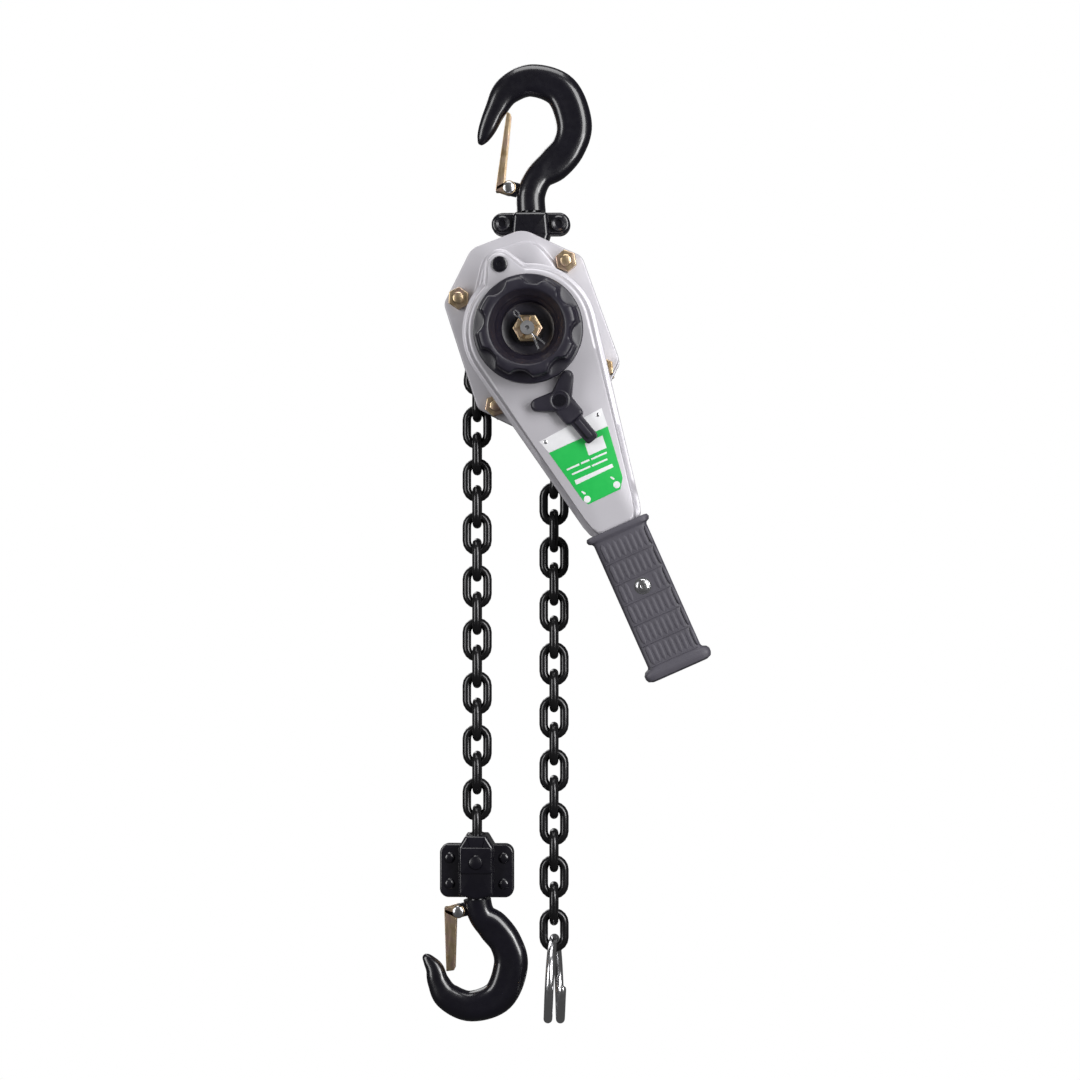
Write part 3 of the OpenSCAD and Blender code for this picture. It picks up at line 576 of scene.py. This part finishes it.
def nut_skin(u, v, y0, y1, phase):
    """A chamfered hexagon nut between two planes, about a stay bolt."""
    x, z = turn(BODY_TILT, u, v)
    return pressed(polygon(x, z, 7.5, 6, BODY_TILT + phase), y0, y1, 0.7)


def stud_skin(u, v):
    """A stay bolt: a shank whose ends carry rolled thread, as a row of fine ridges, and a chamfer."""
    ridge = lambda a, b: [(4.0 if i % 2 else 3.65, y) for i, y in enumerate(np.arange(a, b, 0.5))]
    profile = [(0.1, -29.2), (3.0, -29.2)] + ridge(-28.9, -19) + ridge(19, 25.8) + [(3.2, 26), (0.1, 26)]
    x, z = turn(BODY_TILT, u, v)
    return turned(profile, (x, 0, z), 28, "y")


corners = [(u, v) for u in (-STAY_AT, STAY_AT) for v in (-STAY_AT, STAY_AT)]
nuts = [nut_skin(u, v, *span, 7 * i) for i, (u, v) in enumerate(corners)
        for span in ((-27.0, -19.55), (19.55, 25.5))]
add_mesh("plated_stay_nuts", *join(*nuts), yellow_zinc, "housing", ["stay_nuts"], "zinc")
add_mesh("plated_stay_bolts", *join(*[stud_skin(u, v) for u, v in corners]), yellow_zinc, "housing",
         ["stay_bolts"], "zinc")

# Works. Shafts, gears, pawls, rollers and discs are machined steel that shows only through gaps,
# so the modelled solids stay and take a turned-steel finish; the linings take theirs.


def machined_steel():
    """Turned and ground steel: fine rings of tool marks and a little oil."""
    f = Finish("machined_steel", Metallic=1.0)
    marks, oil = f.noise(1400, 2, place=f.stretched((0.08, 1, 0.08))), f.noise(40, 3)
    f.connect(f.shader, {
        "Base Color": f.tint(oil, (0.42, 0.42, 0.43), (0.6, 0.6, 0.61)),
        "Roughness": f.node("ShaderNodeMapRange", None, {0: marks, 3: 0.25, 4: 0.45}),
    })
    f.bump(marks, 0.2, 0.0002)
    return f.material


def lining():
    f = Finish("brake_lining", Roughness=0.85)
    fleck = f.noise(900, 4)
    f.connect(f.shader, {"Base Color": f.tint(fleck, (0.08, 0.05, 0.04), (0.3, 0.22, 0.15))})
    f.bump(fleck, 0.3, 0.0003)
    return f.material


turned_steel, disc_lining = machined_steel(), lining()
WORKS = ["top_yoke_pin", "stay_spacers", "ratchet_disc", "brake_pawl_pins", "brake_pawl_left",
         "brake_pawl_right", "guide_roller", "guide_roller_pin", "load_sheave", "load_gear",
         "drive_shaft", "brake_hub", "lever_gear", "wheel_washer", "intermediate_gear_left",
         "intermediate_gear_right", "selector_shaft", "lever_pawl", "friction_discs"]
for node in WORKS:
    finish = {"friction_discs": disc_lining, "selector_shaft": black_enamel,
              "wheel_washer": black_enamel}.get(node, turned_steel)
    mesh = frame["nodes"][node].data
    mesh.materials.clear()
    mesh.materials.append(finish)

# Handwheel. Moulded black nylon on the drive shaft: a plain flange behind, a ring with scallops
# for the fingers in front and a deep conical recess for the nut.


def nylon():
    """Glass-filled nylon: satin black with a violet cast, spark-eroded grain and soft wear."""
    f = Finish("black_nylon", Coat_Weight=0.1, Coat_Roughness=0.35)
    grain, wear = f.noise(1500, 2), f.noise(45, 4, 0.65)
    f.connect(f.shader, {
        "Base Color": f.tint(wear, (0.006, 0.005, 0.01), (0.02, 0.017, 0.03)),
        "Roughness": f.node("ShaderNodeMapRange", None, {0: wear, 3: 0.3, 4: 0.48}),
    })
    f.bump(grain * 0.6 + wear * 0.4, 0.22, 0.0003)
    return f.material


black_nylon = nylon()
WHEEL_BACK, WHEEL_FRONT, WHEEL_R, RING_R, SEAT_Y = -59.5, -82.0, 36.0, 32.6, -62.0
SCALLOPS, SCALLOP_R, SCALLOP_FLOOR, SCALLOP_AT = 8, 10.0, 28.6, math.radians(38)


def scalloped(radius):
    """A circle cut in by round scallops: along each heading, the nearer of the rim and the scallop."""
    pitch = 2 * math.pi / SCALLOPS
    a = (HEADINGS - SCALLOP_AT + pitch / 2) % pitch - pitch / 2
    centre = SCALLOP_FLOOR + SCALLOP_R
    inside = np.maximum(SCALLOP_R ** 2 - (centre * np.sin(a)) ** 2, 0)
    near = np.where(inside > 0, centre * np.cos(a) - np.sqrt(inside), 99)
    return soften(np.minimum(radius, near + (radius - RING_R)), 3)


lobes = scalloped(RING_R)
wheel = [(14.0, -47.5), (14.0, WHEEL_BACK + 0.1), (15, WHEEL_BACK), (WHEEL_R - 1.6, WHEEL_BACK),
         (WHEEL_R - 0.4, WHEEL_BACK - 0.5), (WHEEL_R, WHEEL_BACK - 1.6), (WHEEL_R, WHEEL_BACK - 4.4),
         (WHEEL_R - 0.5, WHEEL_BACK - 5.6), (WHEEL_R - 1.7, WHEEL_BACK - 6.1),
         (lobes + 1.4, WHEEL_BACK - 6.6), (lobes + 0.3, WHEEL_BACK - 7.3), (lobes, WHEEL_BACK - 9),
         (lobes - 0.3, WHEEL_FRONT + 2.6), (lobes - 0.8, WHEEL_FRONT + 1.0),
         (lobes - 1.9, WHEEL_FRONT + 0.15), (lobes * 0.3 + 18.6, WHEEL_FRONT), (25.6, WHEEL_FRONT + 0.1),
         (24.7, WHEEL_FRONT + 0.5), (24.2, WHEEL_FRONT + 1.3), (21.4, -76.2), (20.9, -75.6), (20.6, -73.9),
         (20.2, -73.1), (18.4, -70.6), (18.0, -69.8), (17.8, -64), (17.2, -62.6), (16, SEAT_Y),
         (12.5, SEAT_Y), (6.05, SEAT_Y), (6.05, -47.5)]
add_mesh("moulded_handwheel", *stepped(wheel, 0.0), black_nylon, "drive", ["handwheel"], "plastic")

# Castle nut and cotter pin. The slotted zinc plated nut holds the handwheel, and a split pin
# through the shaft's end locks it.

NUT_PHASE = 128.0


def castle_nut():
    """A chamfered hexagon with a round crown cut by six slots, as a reach that dips at each slot."""
    hexagon = pressed(polygon(AXIS[0], AXIS[2], 10, 6), SEAT_Y - 7.2, SEAT_Y - 1.7, 0.8)
    a = (np.degrees(HEADINGS) - NUT_PHASE) % 60
    slot = np.minimum(a, 60 - a) < 9
    crown = np.where(slot, 4.8, 7.8)
    levels = [(crown, SEAT_Y - 7.0), (crown, SEAT_Y - 10.1), (np.minimum(crown, 7.2), SEAT_Y - 10.5),
              (4.75, SEAT_Y - 10.5), (4.7, SEAT_Y - 7.0)]
    return join(hexagon, stepped(levels, 0.0))


add_mesh("slotted_nut", *castle_nut(), yellow_zinc, "drive", ["castle_nut"], "zinc", sharp=30)


def cotter():
    """Half-round wire: an eye on one side, two legs splayed on the other, in the plane of the slots."""
    c, s = math.cos(math.radians(NUT_PHASE)), math.sin(math.radians(NUT_PHASE))
    y = SEAT_Y - 9.6

    def place(along, across):
        along, across = np.asarray(along, float), np.asarray(across, float)
        return np.stack([AXIS[0] + along * c - across * s, np.full(along.shape, y),
                         AXIS[2] + along * s + across * c], -1)

    t = np.linspace(0, 1, 16)
    legs = [place(-4.8 - 10.4 * t, side * (0.55 + 2.3 * t ** 1.6)) for side in (-1, 1)]
    a = np.linspace(-2.6, 2.6, 28)
    eye = place(11.6 + 2.3 * np.cos(a), 1.35 * np.sin(a))
    stem = place(np.linspace(4.9, 9.8, 6), np.zeros(6))
    return join(*[tube(p, np.full(len(p), r), 10) for p, r in
                  ((legs[0], 0.75), (legs[1], 0.75), (eye, 0.6), (stem, 0.85))])


add_mesh("split_pin", *cotter(), bright, "drive", ["cotter_pin"], "bright")

# Lever. Two steel pressings meet on a flange round the edge; the front one rises in a step to a
# flat face. Powder coated as the housing is, with a black plug screw in the lobe opposite the grip.

LEVER_LEAN, GRIP_START, LOBE_AT, SELECTOR_AT = 24.0, 141.0, 47.7, 51.0


def lever_reach(head, end_half, lobe, ends=GRIP_START + 3):
    """The furthest of two belts: head circle to the grip, and head circle to the lobe."""
    arm = belt([(0, 0, head), (-end_half + 1, -ends + 1, 1), (end_half - 1, -ends + 1, 1)], 360)
    bump_out = belt([(0, 0, head * 0.75), (0, LOBE_AT, lobe)], 360)
    return np.maximum(reach(arm), reach(bump_out))


FLANGE, FACE = soften(lever_reach(45.0, 18.4, 11.0), 3), soften(lever_reach(41.8, 14.6, 8.6), 3)


front_shell = [
    (FLANGE - 0.5, -39.05), (FLANGE, -39.4), (FLANGE, -40.9), (FLANGE - 0.5, -41.4),
    (FLANGE - 1.2, -41.6), (FACE + 1.5, -41.7), (FACE + 0.5, -42.1), (FACE, -43.2),
    (FACE - 0.4, -46.8), (FACE - 1.0, -48.8), (FACE - 2.2, -49.8), (FACE - 3.8, -50.0),
    (16.2, -50.0), (15.2, -49.8), (14.6, -49.2), (14.6, -47.0), (FACE - 4.5, -47.0), (FACE - 4, -39.05)]
back_shell = [
    (FLANGE - 0.5, -38.95), (FLANGE, -38.6), (FLANGE, -37.6), (FLANGE - 0.6, -37.1),
    (FLANGE - 1.1, -36.6), (FLANGE - 1.4, -34.0), (FLANGE - 2.2, -31.6), (FLANGE - 4.2, -30.5),
    (14.2, -30.4), (13.4, -30.8), (13.4, -33.0), (FLANGE - 4.5, -33.0), (FLANGE - 3.5, -38.95)]
add_mesh("pressed_lever_front", *stepped(front_shell, LEVER_LEAN), grey_coat, "lever",
         ["lever_front_shell"], "grey_paint")
add_mesh("pressed_lever_back", *stepped(back_shell, LEVER_LEAN), grey_coat, "lever",
         ["lever_back_shell"], "grey_paint")
plug_x, plug_z = turn(LEVER_LEAN, 0, LOBE_AT)
plug = turned([(0.05, -51.0), (1.9, -51.1), (2.0, -51.9), (3.9, -52.0), (5.0, -51.6), (5.4, -50.9),
               (5.4, -50.05), (4.0, -50.0), (4.0, -46.0), (0.05, -46.0)], (plug_x, 0, plug_z), 40, "y")
add_mesh("lobe_plug_screw", *plug, black_enamel, "lever", ["lever_plug"], "black_paint")

# Label. A film badge on the lever's face: a green field with white bars and generic turning
# arrows under a white band, all printed and laminated flat.


def printed(name, colour):
    """Printed film under a clear laminate, faintly uneven and scuffed."""
    f = Finish(name, Coat_Weight=0.4, Coat_Roughness=0.12)
    scuff = f.noise(160, 4, 0.7)
    f.connect(f.shader, {
        "Base Color": f.tint(scuff, tuple(0.86 * c for c in colour), colour),
        "Roughness": f.node("ShaderNodeMapRange", None, {0: scuff, 3: 0.28, 4: 0.45}),
    })
    f.bump(scuff, 0.08, 0.0001)
    return f.material


film_green = printed("green_film", (0.015, 0.50, 0.085))
film_white = printed("white_film", (0.82, 0.82, 0.84))


def on_lever(outline):
    x, z = turn(LEVER_LEAN, outline[:, 0], outline[:, 1])
    return np.stack([x, z], -1)


def badge_outline(*points, per_side=5):
    """A straight-sided outline with points along each side, anticlockwise."""
    p = np.array(points, float)
    t = np.linspace(0, 1, per_side, endpoint=False)[None, :, None]
    return (p[:, None] * (1 - t) + np.roll(p, -1, 0)[:, None] * t).reshape(-1, 2)


field = badge_outline((-20.8, -79.2), (-13.0, -117.0), (-10.9, -120.6), (12.5, -120.0), (16.9, -113.6),
                      (21.6, -78.9))
band = badge_outline((-20.8, -79.0), (21.6, -78.7), (22.8, -66.2), (-23.6, -69.8))
add_mesh("label_field", *pressed(on_lever(field), -50.22, -50.0, 0.06), film_green, "lever",
         ["lever_label"], "label_green")
white_marks = [badge_outline((-12.8, -105.6), (14.2, -104.9), (14.2, -102.5), (-12.8, -102.5)),
               badge_outline((2.4, -91.5), (15.2, -91.5), (16.0, -83.0), (3.2, -83.0))]
white_marks += [badge_outline((x, z - 0.7), (x + w, z - 0.7), (x + w, z + 0.5), (x, z + 0.5))
                for x, w, z in ((-14.6, 9, -94), (-4.4, 6, -94), (3, 11, -94.2), (-12.6, 13, -98.2),
                                (1.6, 11, -98.4))]
white_marks += [belt([(x, z, 2.3)], 24) for x, z in ((-10.2, -117.2), (11.4, -116.4))]
white_marks += [belt([(x, z, 0.7), (x - 1, z + 1.6, 0.5)], 24) for x, z in ((-10.2, -113), (11.0, -112))]
add_mesh("label_band", *pressed(on_lever(band), -50.18, -50.0, 0.06), film_white, "lever", (), "label_green")
add_mesh("label_marks", *join(*[pressed(on_lever(m), -50.28, -50.0, 0.03) for m in white_marks]),
         film_white, "lever", (), "label_green")
badge_rivet = [(0.05, -50.1), (1.5, -50.1), (1.3, -50.5), (0.6, -50.75), (0.05, -50.8)]
badge_rivets = [turned(badge_rivet, (x, 0, z), 20, "y")
                for x, z in (turn(LEVER_LEAN, -20.0, -71.6), turn(LEVER_LEAN, 18.9, -69.4))]
add_mesh("label_rivets", *join(*badge_rivets), bright, "lever", (), "bright")

# Grip. Moulded rubber sleeve over the lever's tongue: a collar at the mouth, six panels of fine
# ribs on the front and back, a bead at the end and one bright screw through it.


def rubber():
    """Moulded rubber: matt black, bloomed a little grey where hands rub it."""
    f = Finish("black_rubber")
    bloom, skin = f.noise(35, 4, 0.6), f.noise(1100, 3)
    f.connect(f.shader, {
        "Base Color": f.tint(bloom, (0.055, 0.051, 0.064), (0.085, 0.08, 0.1)),
        "Roughness": f.node("ShaderNodeMapRange", None, {0: skin, 3: 0.42, 4: 0.62}),
    })
    f.bump(skin * 0.7 + bloom * 0.3, 0.3, 0.0003)
    return f.material


black_rubber = rubber()
# distance from the drive axis, half width, y of the front and y of the back
GRIP_STATIONS = np.array([
    (141.2, 19.6, -51.6, -29.4), (141.6, 21.6, -53.0, -28.6), (143.4, 22.4, -53.4, -28.4),
    (145.2, 21.6, -53.0, -28.6), (146.2, 19.6, -52.0, -28.8), (147.5, 18.9, -51.7, -28.9),
    (191, 18.9, -51.7, -28.9), (234.5, 18.9, -51.7, -28.9), (236.2, 19.6, -52.2, -28.8),
    (237.4, 22.2, -53.6, -28.3), (239.2, 23.4, -54.3, -28.05), (241.4, 23.4, -54.3, -28.05),
    (243.6, 22.4, -53.6, -28.4), (244.8, 19.6, -51.6, -29.6)])


def grip_skin(sides=72):
    """A rounded rectangle carried along the lever, its size read off the stations."""
    a = np.linspace(0, 2 * math.pi, sides, endpoint=False)
    u = np.sign(np.cos(a)) * np.abs(np.cos(a)) ** 0.28
    w = np.sign(np.sin(a)) * np.abs(np.sin(a)) ** 0.28
    d, half, front, back = (GRIP_STATIONS[:, i, None] for i in range(4))
    x, z = turn(LEVER_LEAN, u * half, -np.repeat(d, sides, 1))
    y = (front + back) / 2 + w * (back - front) / 2
    return outward(*shell(np.stack([x, y, z], -1)))


def rib(u, d0, d1, y, out, half=0.75, height=0.7):
    """A raised bar with a round back, along the lever, closed at both ends."""
    t = np.linspace(0, 1, 7)
    swell = np.clip(np.sin(np.pi * np.clip(t, 0.03, 0.97)) * 3, 0, 1)[:, None]
    a = np.linspace(0, 2 * math.pi, 10, endpoint=False)
    x, z = turn(LEVER_LEAN, u + half * swell * np.cos(a), -(d0 + (d1 - d0) * t)[:, None] + 0 * a)
    return outward(*shell(np.stack([x, y + out * height * swell * np.sin(a), z], -1)))


PANELS, RIBS, PANEL_START, PANEL_PITCH = 6, 8, 148.6, 14.55
ribs = []
for row in range(PANELS):
    start, stop = PANEL_START + row * PANEL_PITCH, PANEL_START + (row + 1) * PANEL_PITCH - 1.9
    for u in (np.arange(RIBS) - (RIBS - 1) / 2) * 4.0:
        if row == 2 and abs(u) < 7:
            continue
        ribs += [rib(u, start, stop, y, out, 1.55) for y, out in ((-51.55, -1), (-29.0, 1))]
    ribs.append(rib(17.3, start, stop, -51.3, -1, 1.1, 1.0))
    across = belt([on_lever(np.array([[u, -stop - 0.95]]))[0].tolist() + [0.45] for u in (-16.6, 16.6)])
    ribs.append(pressed(across, -52.25, -50, 0.3, 0.1))
add_mesh("rubber_grip", *join(grip_skin(), *ribs), black_rubber, "lever", ["grip"], "rubber")
screw_x, screw_z = turn(LEVER_LEAN, 0, -184)
screw = turned([(0.05, -53.0), (1.5, -53.2), (1.6, -53.8), (3.6, -53.7), (4.4, -53.2), (4.7, -52.5),
                (4.7, -51.9), (5.6, -51.9), (5.7, -51.6), (2.5, -51.5), (2.5, -50.3), (0.05, -50.3)],
               (screw_x, 0, screw_z), 40, "y")
add_mesh("grip_fixing_screw", *screw, bright, "lever", ["grip_screw"], "bright")

# Selector. A three-armed moulded knob on the pawl shaft; the long arm has a raised rib and points
# to the working direction, and a dark screw holds the knob.

SEL_X, SEL_Z = turn(LEVER_LEAN, 0, -SELECTOR_AT)
POINTER = 310
ARMS = [(74, 21.0, 4.4, (0,)), (191, 20.0, 4.4, (0,)), (POINTER, 17.5, 2.5, (-19, 19))]
KNOB_FRONT, KNOB_BACK = -58.4, -51.0


def knob_reach():
    """The furthest of three tapering arms about the knob's middle, with the crotches drawn round."""
    arms = [belt([(0, 0, 7.6)] + [((d - r) * math.cos(math.radians(a + w)),
                                   (d - r) * math.sin(math.radians(a + w)), r)
                                  for w in splay], 360) for a, d, r, splay in ARMS]
    return soften(np.max([reach(arm) for arm in arms], 0), 7)


def about_knob(radius, y):
    r = np.broadcast_to(radius, HEADINGS.shape)
    return np.stack([SEL_X + r * np.cos(HEADINGS), np.full(len(r), y), SEL_Z + r * np.sin(HEADINGS)], -1)


def along_arm(half, start, stop, corner):
    """A round-cornered bar lying along the knob's long arm."""
    c, s = math.cos(math.radians(POINTER)), math.sin(math.radians(POINTER))
    return belt([(SEL_X + d * c - w * s, SEL_Z + d * s + w * c, corner)
                 for d in (start + corner, stop - corner) for w in (corner - half, half - corner)])


arms = knob_reach()
levels = [(0.8, KNOB_BACK), (0, KNOB_BACK - 0.8), (0.2, KNOB_FRONT + 2.8), (0.6, KNOB_FRONT + 1.5),
          (1.6, KNOB_FRONT + 0.7), (3.4, KNOB_FRONT + 0.5)]
knob = [about_knob(arms - e, y) for e, y in levels] + [about_knob(arms * 0.2 + 4, KNOB_FRONT + 0.45),
                                                      about_knob(arms * 0.02 + 1, KNOB_FRONT + 0.5)]
boss = turned([(4.1, -56.0), (5.3, -57.0), (5.4, -58.0), (6.0, -58.3), (6.7, -58.1), (7.2, -57.2),
               (7.2, -56)], (SEL_X, 0, SEL_Z), 48, "y", True)
pointer = [pressed(along_arm(4.6, 10, 34, 2.2), KNOB_FRONT + 2.2, KNOB_BACK - 0.6, 0.8),
           pressed(along_arm(2.0, 17, 31.5, 1.2), KNOB_FRONT + 0.2, KNOB_BACK - 2, 0.7)]
add_mesh("moulded_selector", *join(outward(*shell(knob)), boss, *pointer), black_nylon, "selector",
         ["selector_knob"], "plastic")

# Chain. Hardened 6 by 18 mm links, each butt welded, blackened and oiled; neighbours stand at
# right angles. Two runs hang from the sheave, and each run is in two lengths that swing.


def chain_black():
    f = Finish("oiled_chain_black", Metallic=0.55, Coat_Weight=0.5, Coat_Roughness=0.12)
    scale, oil = f.noise(500, 4), f.noise(60, 3)
    f.connect(f.shader, {
        "Base Color": f.tint(oil, (0.006, 0.006, 0.007), (0.02, 0.019, 0.021)),
        "Roughness": f.node("ShaderNodeMapRange", None, {0: scale, 3: 0.2, 4: 0.4}),
    })
    f.bump(scale, 0.25, 0.0003)
    return f.material


oiled_black = chain_black()
WIRE_R, BOW_R, PITCH = 2.95, 7.0, 18.0
BOW_AT = PITCH / 2 + 3.0 - BOW_R


def link_path(steps=10):
    """A link's middle line: two half circles joined by straight sides."""
    a = np.linspace(0, math.pi, steps)
    top = np.stack([BOW_R * np.cos(a), BOW_AT + BOW_R * np.sin(a)], -1)
    return np.vstack([top, -top])


def link_skin(start, end, edge_on, sides=14):
    """Round wire along the middle line, laid between two points."""
    line = link_path()
    path = np.column_stack([line[:, 0], np.zeros(len(line)), line[:, 1]])
    points, faces = tube(path, np.full(len(path), WIRE_R), sides, True)
    if edge_on:
        points = np.column_stack([-points[:, 1], points[:, 0], points[:, 2]])
    middle, way = (start + end) / 2, (start - end) / np.linalg.norm(start - end)
    x, z = points[:, 0].copy(), points[:, 2].copy()
    points[:, 0] = middle[0] + x * way[1] + z * way[0]
    points[:, 2] = middle[1] - x * way[0] + z * way[1]
    return points, faces


def run_of(points, first_odd):
    return join(*[link_skin(points[i], points[i + 1], (i + first_odd) % 2 == 1)
                  for i in range(len(points) - 1)])


SHEAVE_R = PITCH / 2 / math.sin(math.radians(22.5))
sheave_point = lambda i: AXIS[[0, 2]] + SHEAVE_R * np.array(
    [math.cos(math.radians(187 - 45 * i)), math.sin(math.radians(187 - 45 * i))])
LOAD_TOP = np.array([LOAD_X, joint_at["load_run_swing"][2] + PITCH + 3])
TAIL_TOP = np.array([TAIL_X, joint_at["tail_run_sway"][2] + 9 * PITCH + 3])
lead_in = sheave_point(0) - PITCH * np.array([math.cos(math.radians(50.3)), math.sin(math.radians(50.3))])
slant = lambda i: sheave_point(4) + (TAIL_TOP - sheave_point(4)) * i / 6
below = lambda top, i: top - np.array([0, PITCH * i])
RUNS = {
    "chain_on_sheave": ("housing", [below(LOAD_TOP, 1), LOAD_TOP, lead_in]
                        + [sheave_point(i) for i in range(5)] + [slant(i) for i in range(1, 5)], 1),
    "load_chain_upper": ("load_run_upper", [below(LOAD_TOP, i) for i in range(1, 9)], 0),
    "load_chain_lower": ("load_run_lower", [below(LOAD_TOP, i) for i in range(8, 19)], 1),
    "tail_chain_upper": ("tail_run_upper",
                         [slant(4), slant(5)] + [below(TAIL_TOP, i) for i in range(10)], 0),
    "tail_chain_lower": ("tail_run_lower", [below(TAIL_TOP, i) for i in range(9, 18)], 1),
}
for node, (body, points, first_odd) in RUNS.items():
    add_mesh(f"{node}_links", *run_of(points, first_odd), oiled_black, body, [node], "chain_black")

# Bottom block. Two forged halves with side flanges, riveted at four corners round the chain pin
# and the hook's head, in the same black enamel.

BLOCK_TOP, BLOCK_BOTTOM, BLOCK_HALF, FLANGE_HALF = -505.0, -542.0, 12.0, 25.0
BLOCK_MID = (BLOCK_TOP + BLOCK_BOTTOM) / 2


def block_half(side):
    """A flanged plate and a taller central body with a step across it, on one side of the split."""
    wing = belt([(LOAD_X + x * (FLANGE_HALF - 6), BLOCK_MID + z, 6) for x in (-1, 1) for z in (-12, 12)])
    tall = belt([(LOAD_X + x * (BLOCK_HALF - 3), z, 3)
                 for x in (-1, 1) for z in (BLOCK_TOP - 3, BLOCK_BOTTOM + 5)]
                + [(LOAD_X + x * 6, BLOCK_TOP + 4, 2) for x in (-1, 1)] + [(LOAD_X, BLOCK_BOTTOM + 9, 9)])
    plateau = belt([(LOAD_X + x * (BLOCK_HALF - 2.6), z, 1.6)
                    for x in (-1, 1) for z in (BLOCK_TOP - 3.4, -523)])
    outs = [(wing, 5.0, 1.4), (tall, 13.4, 2.2), (plateau, 14.5, 1.0)]
    skins = []
    for outline, depth, ease in outs:
        y = sorted((side * 0.1, side * depth))
        skins.append(pressed(outline, *y, *((ease, 0.1) if side < 0 else (0.1, ease))))
    return join(*skins)


for side, label in ((-1, "front"), (1, "back")):
    add_mesh(f"forged_block_{label}", *block_half(side), black_enamel, "bottom_block",
             [f"block_{label}"], "black_paint")
rivet = [(0.05, -7.0), (1.8, -6.9), (3.2, -6.3), (4.0, -5.0), (2.5, -4.9), (2.5, 4.9), (4.0, 5.0),
         (3.2, 6.3), (1.8, 6.9), (0.05, 7.0)]
rivets = [turned([(r, y * 0.94) for r, y in rivet], (LOAD_X + 18.4 * sx, 0, BLOCK_MID + 8.8 * sz), 32, "y")
          for sx in (-1, 1) for sz in (-1, 1)]
add_mesh("block_rivet_heads", *join(*rivets), black_enamel, "bottom_block", ["block_rivets"], "black_paint")
pin_z = joint_at["block_swing"][2]
pin = turned([(0.05, -16.4), (2.4, -16.3), (4.2, -15.7), (5.0, -14.5), (3.4, -14.4), (3.4, 14.9),
              (0.05, 15)], (LOAD_X, 0, pin_z), 40, "y")
add_mesh("chain_pin_turned", *pin, black_enamel, "bottom_block", ["chain_pin"], "black_paint")

# End ring. Bright bar coiled one and a quarter turns through the last link, its ends rounded.

RING_MEAN, RING_BAR, RING_TURNS, RING_SHIFT = 27.0, 3.0, 1.25, 8.4
RING_Z = joint_at["end_ring_swing"][2] + 6.25 - RING_MEAN


def ring_skin(steps=150):
    """A helix about a sideways axis; the bar's radius falls to nothing along a quarter circle
    at each end."""
    t = np.linspace(0, 1, steps)
    a = 2 * math.pi * RING_TURNS * t
    path = np.stack([TAIL_X + 6.3 - RING_SHIFT * RING_TURNS * t, -RING_MEAN * np.cos(a),
                     RING_Z - RING_MEAN * np.sin(a)], -1)
    length = 2 * math.pi * RING_MEAN * RING_TURNS
    from_end = np.minimum(t, 1 - t) * length / RING_BAR
    radius = RING_BAR * np.sqrt(np.clip(1 - np.clip(1 - from_end, 0, 1) ** 2, 0.01, 1))
    radial = np.stack([0 * a, -np.cos(a), -np.sin(a)], -1)
    q = np.linspace(0, 2 * math.pi, 20, endpoint=False)
    side = np.array([1.0, 0, 0])
    rings = path[:, None] + radius[:, None, None] * (
        np.cos(q)[:, None] * side + np.sin(q)[:, None] * radial[:, None])
    return outward(*shell(rings))


add_mesh("coiled_end_ring", *ring_skin(), bright, "end_ring", ["end_ring"], "bright")
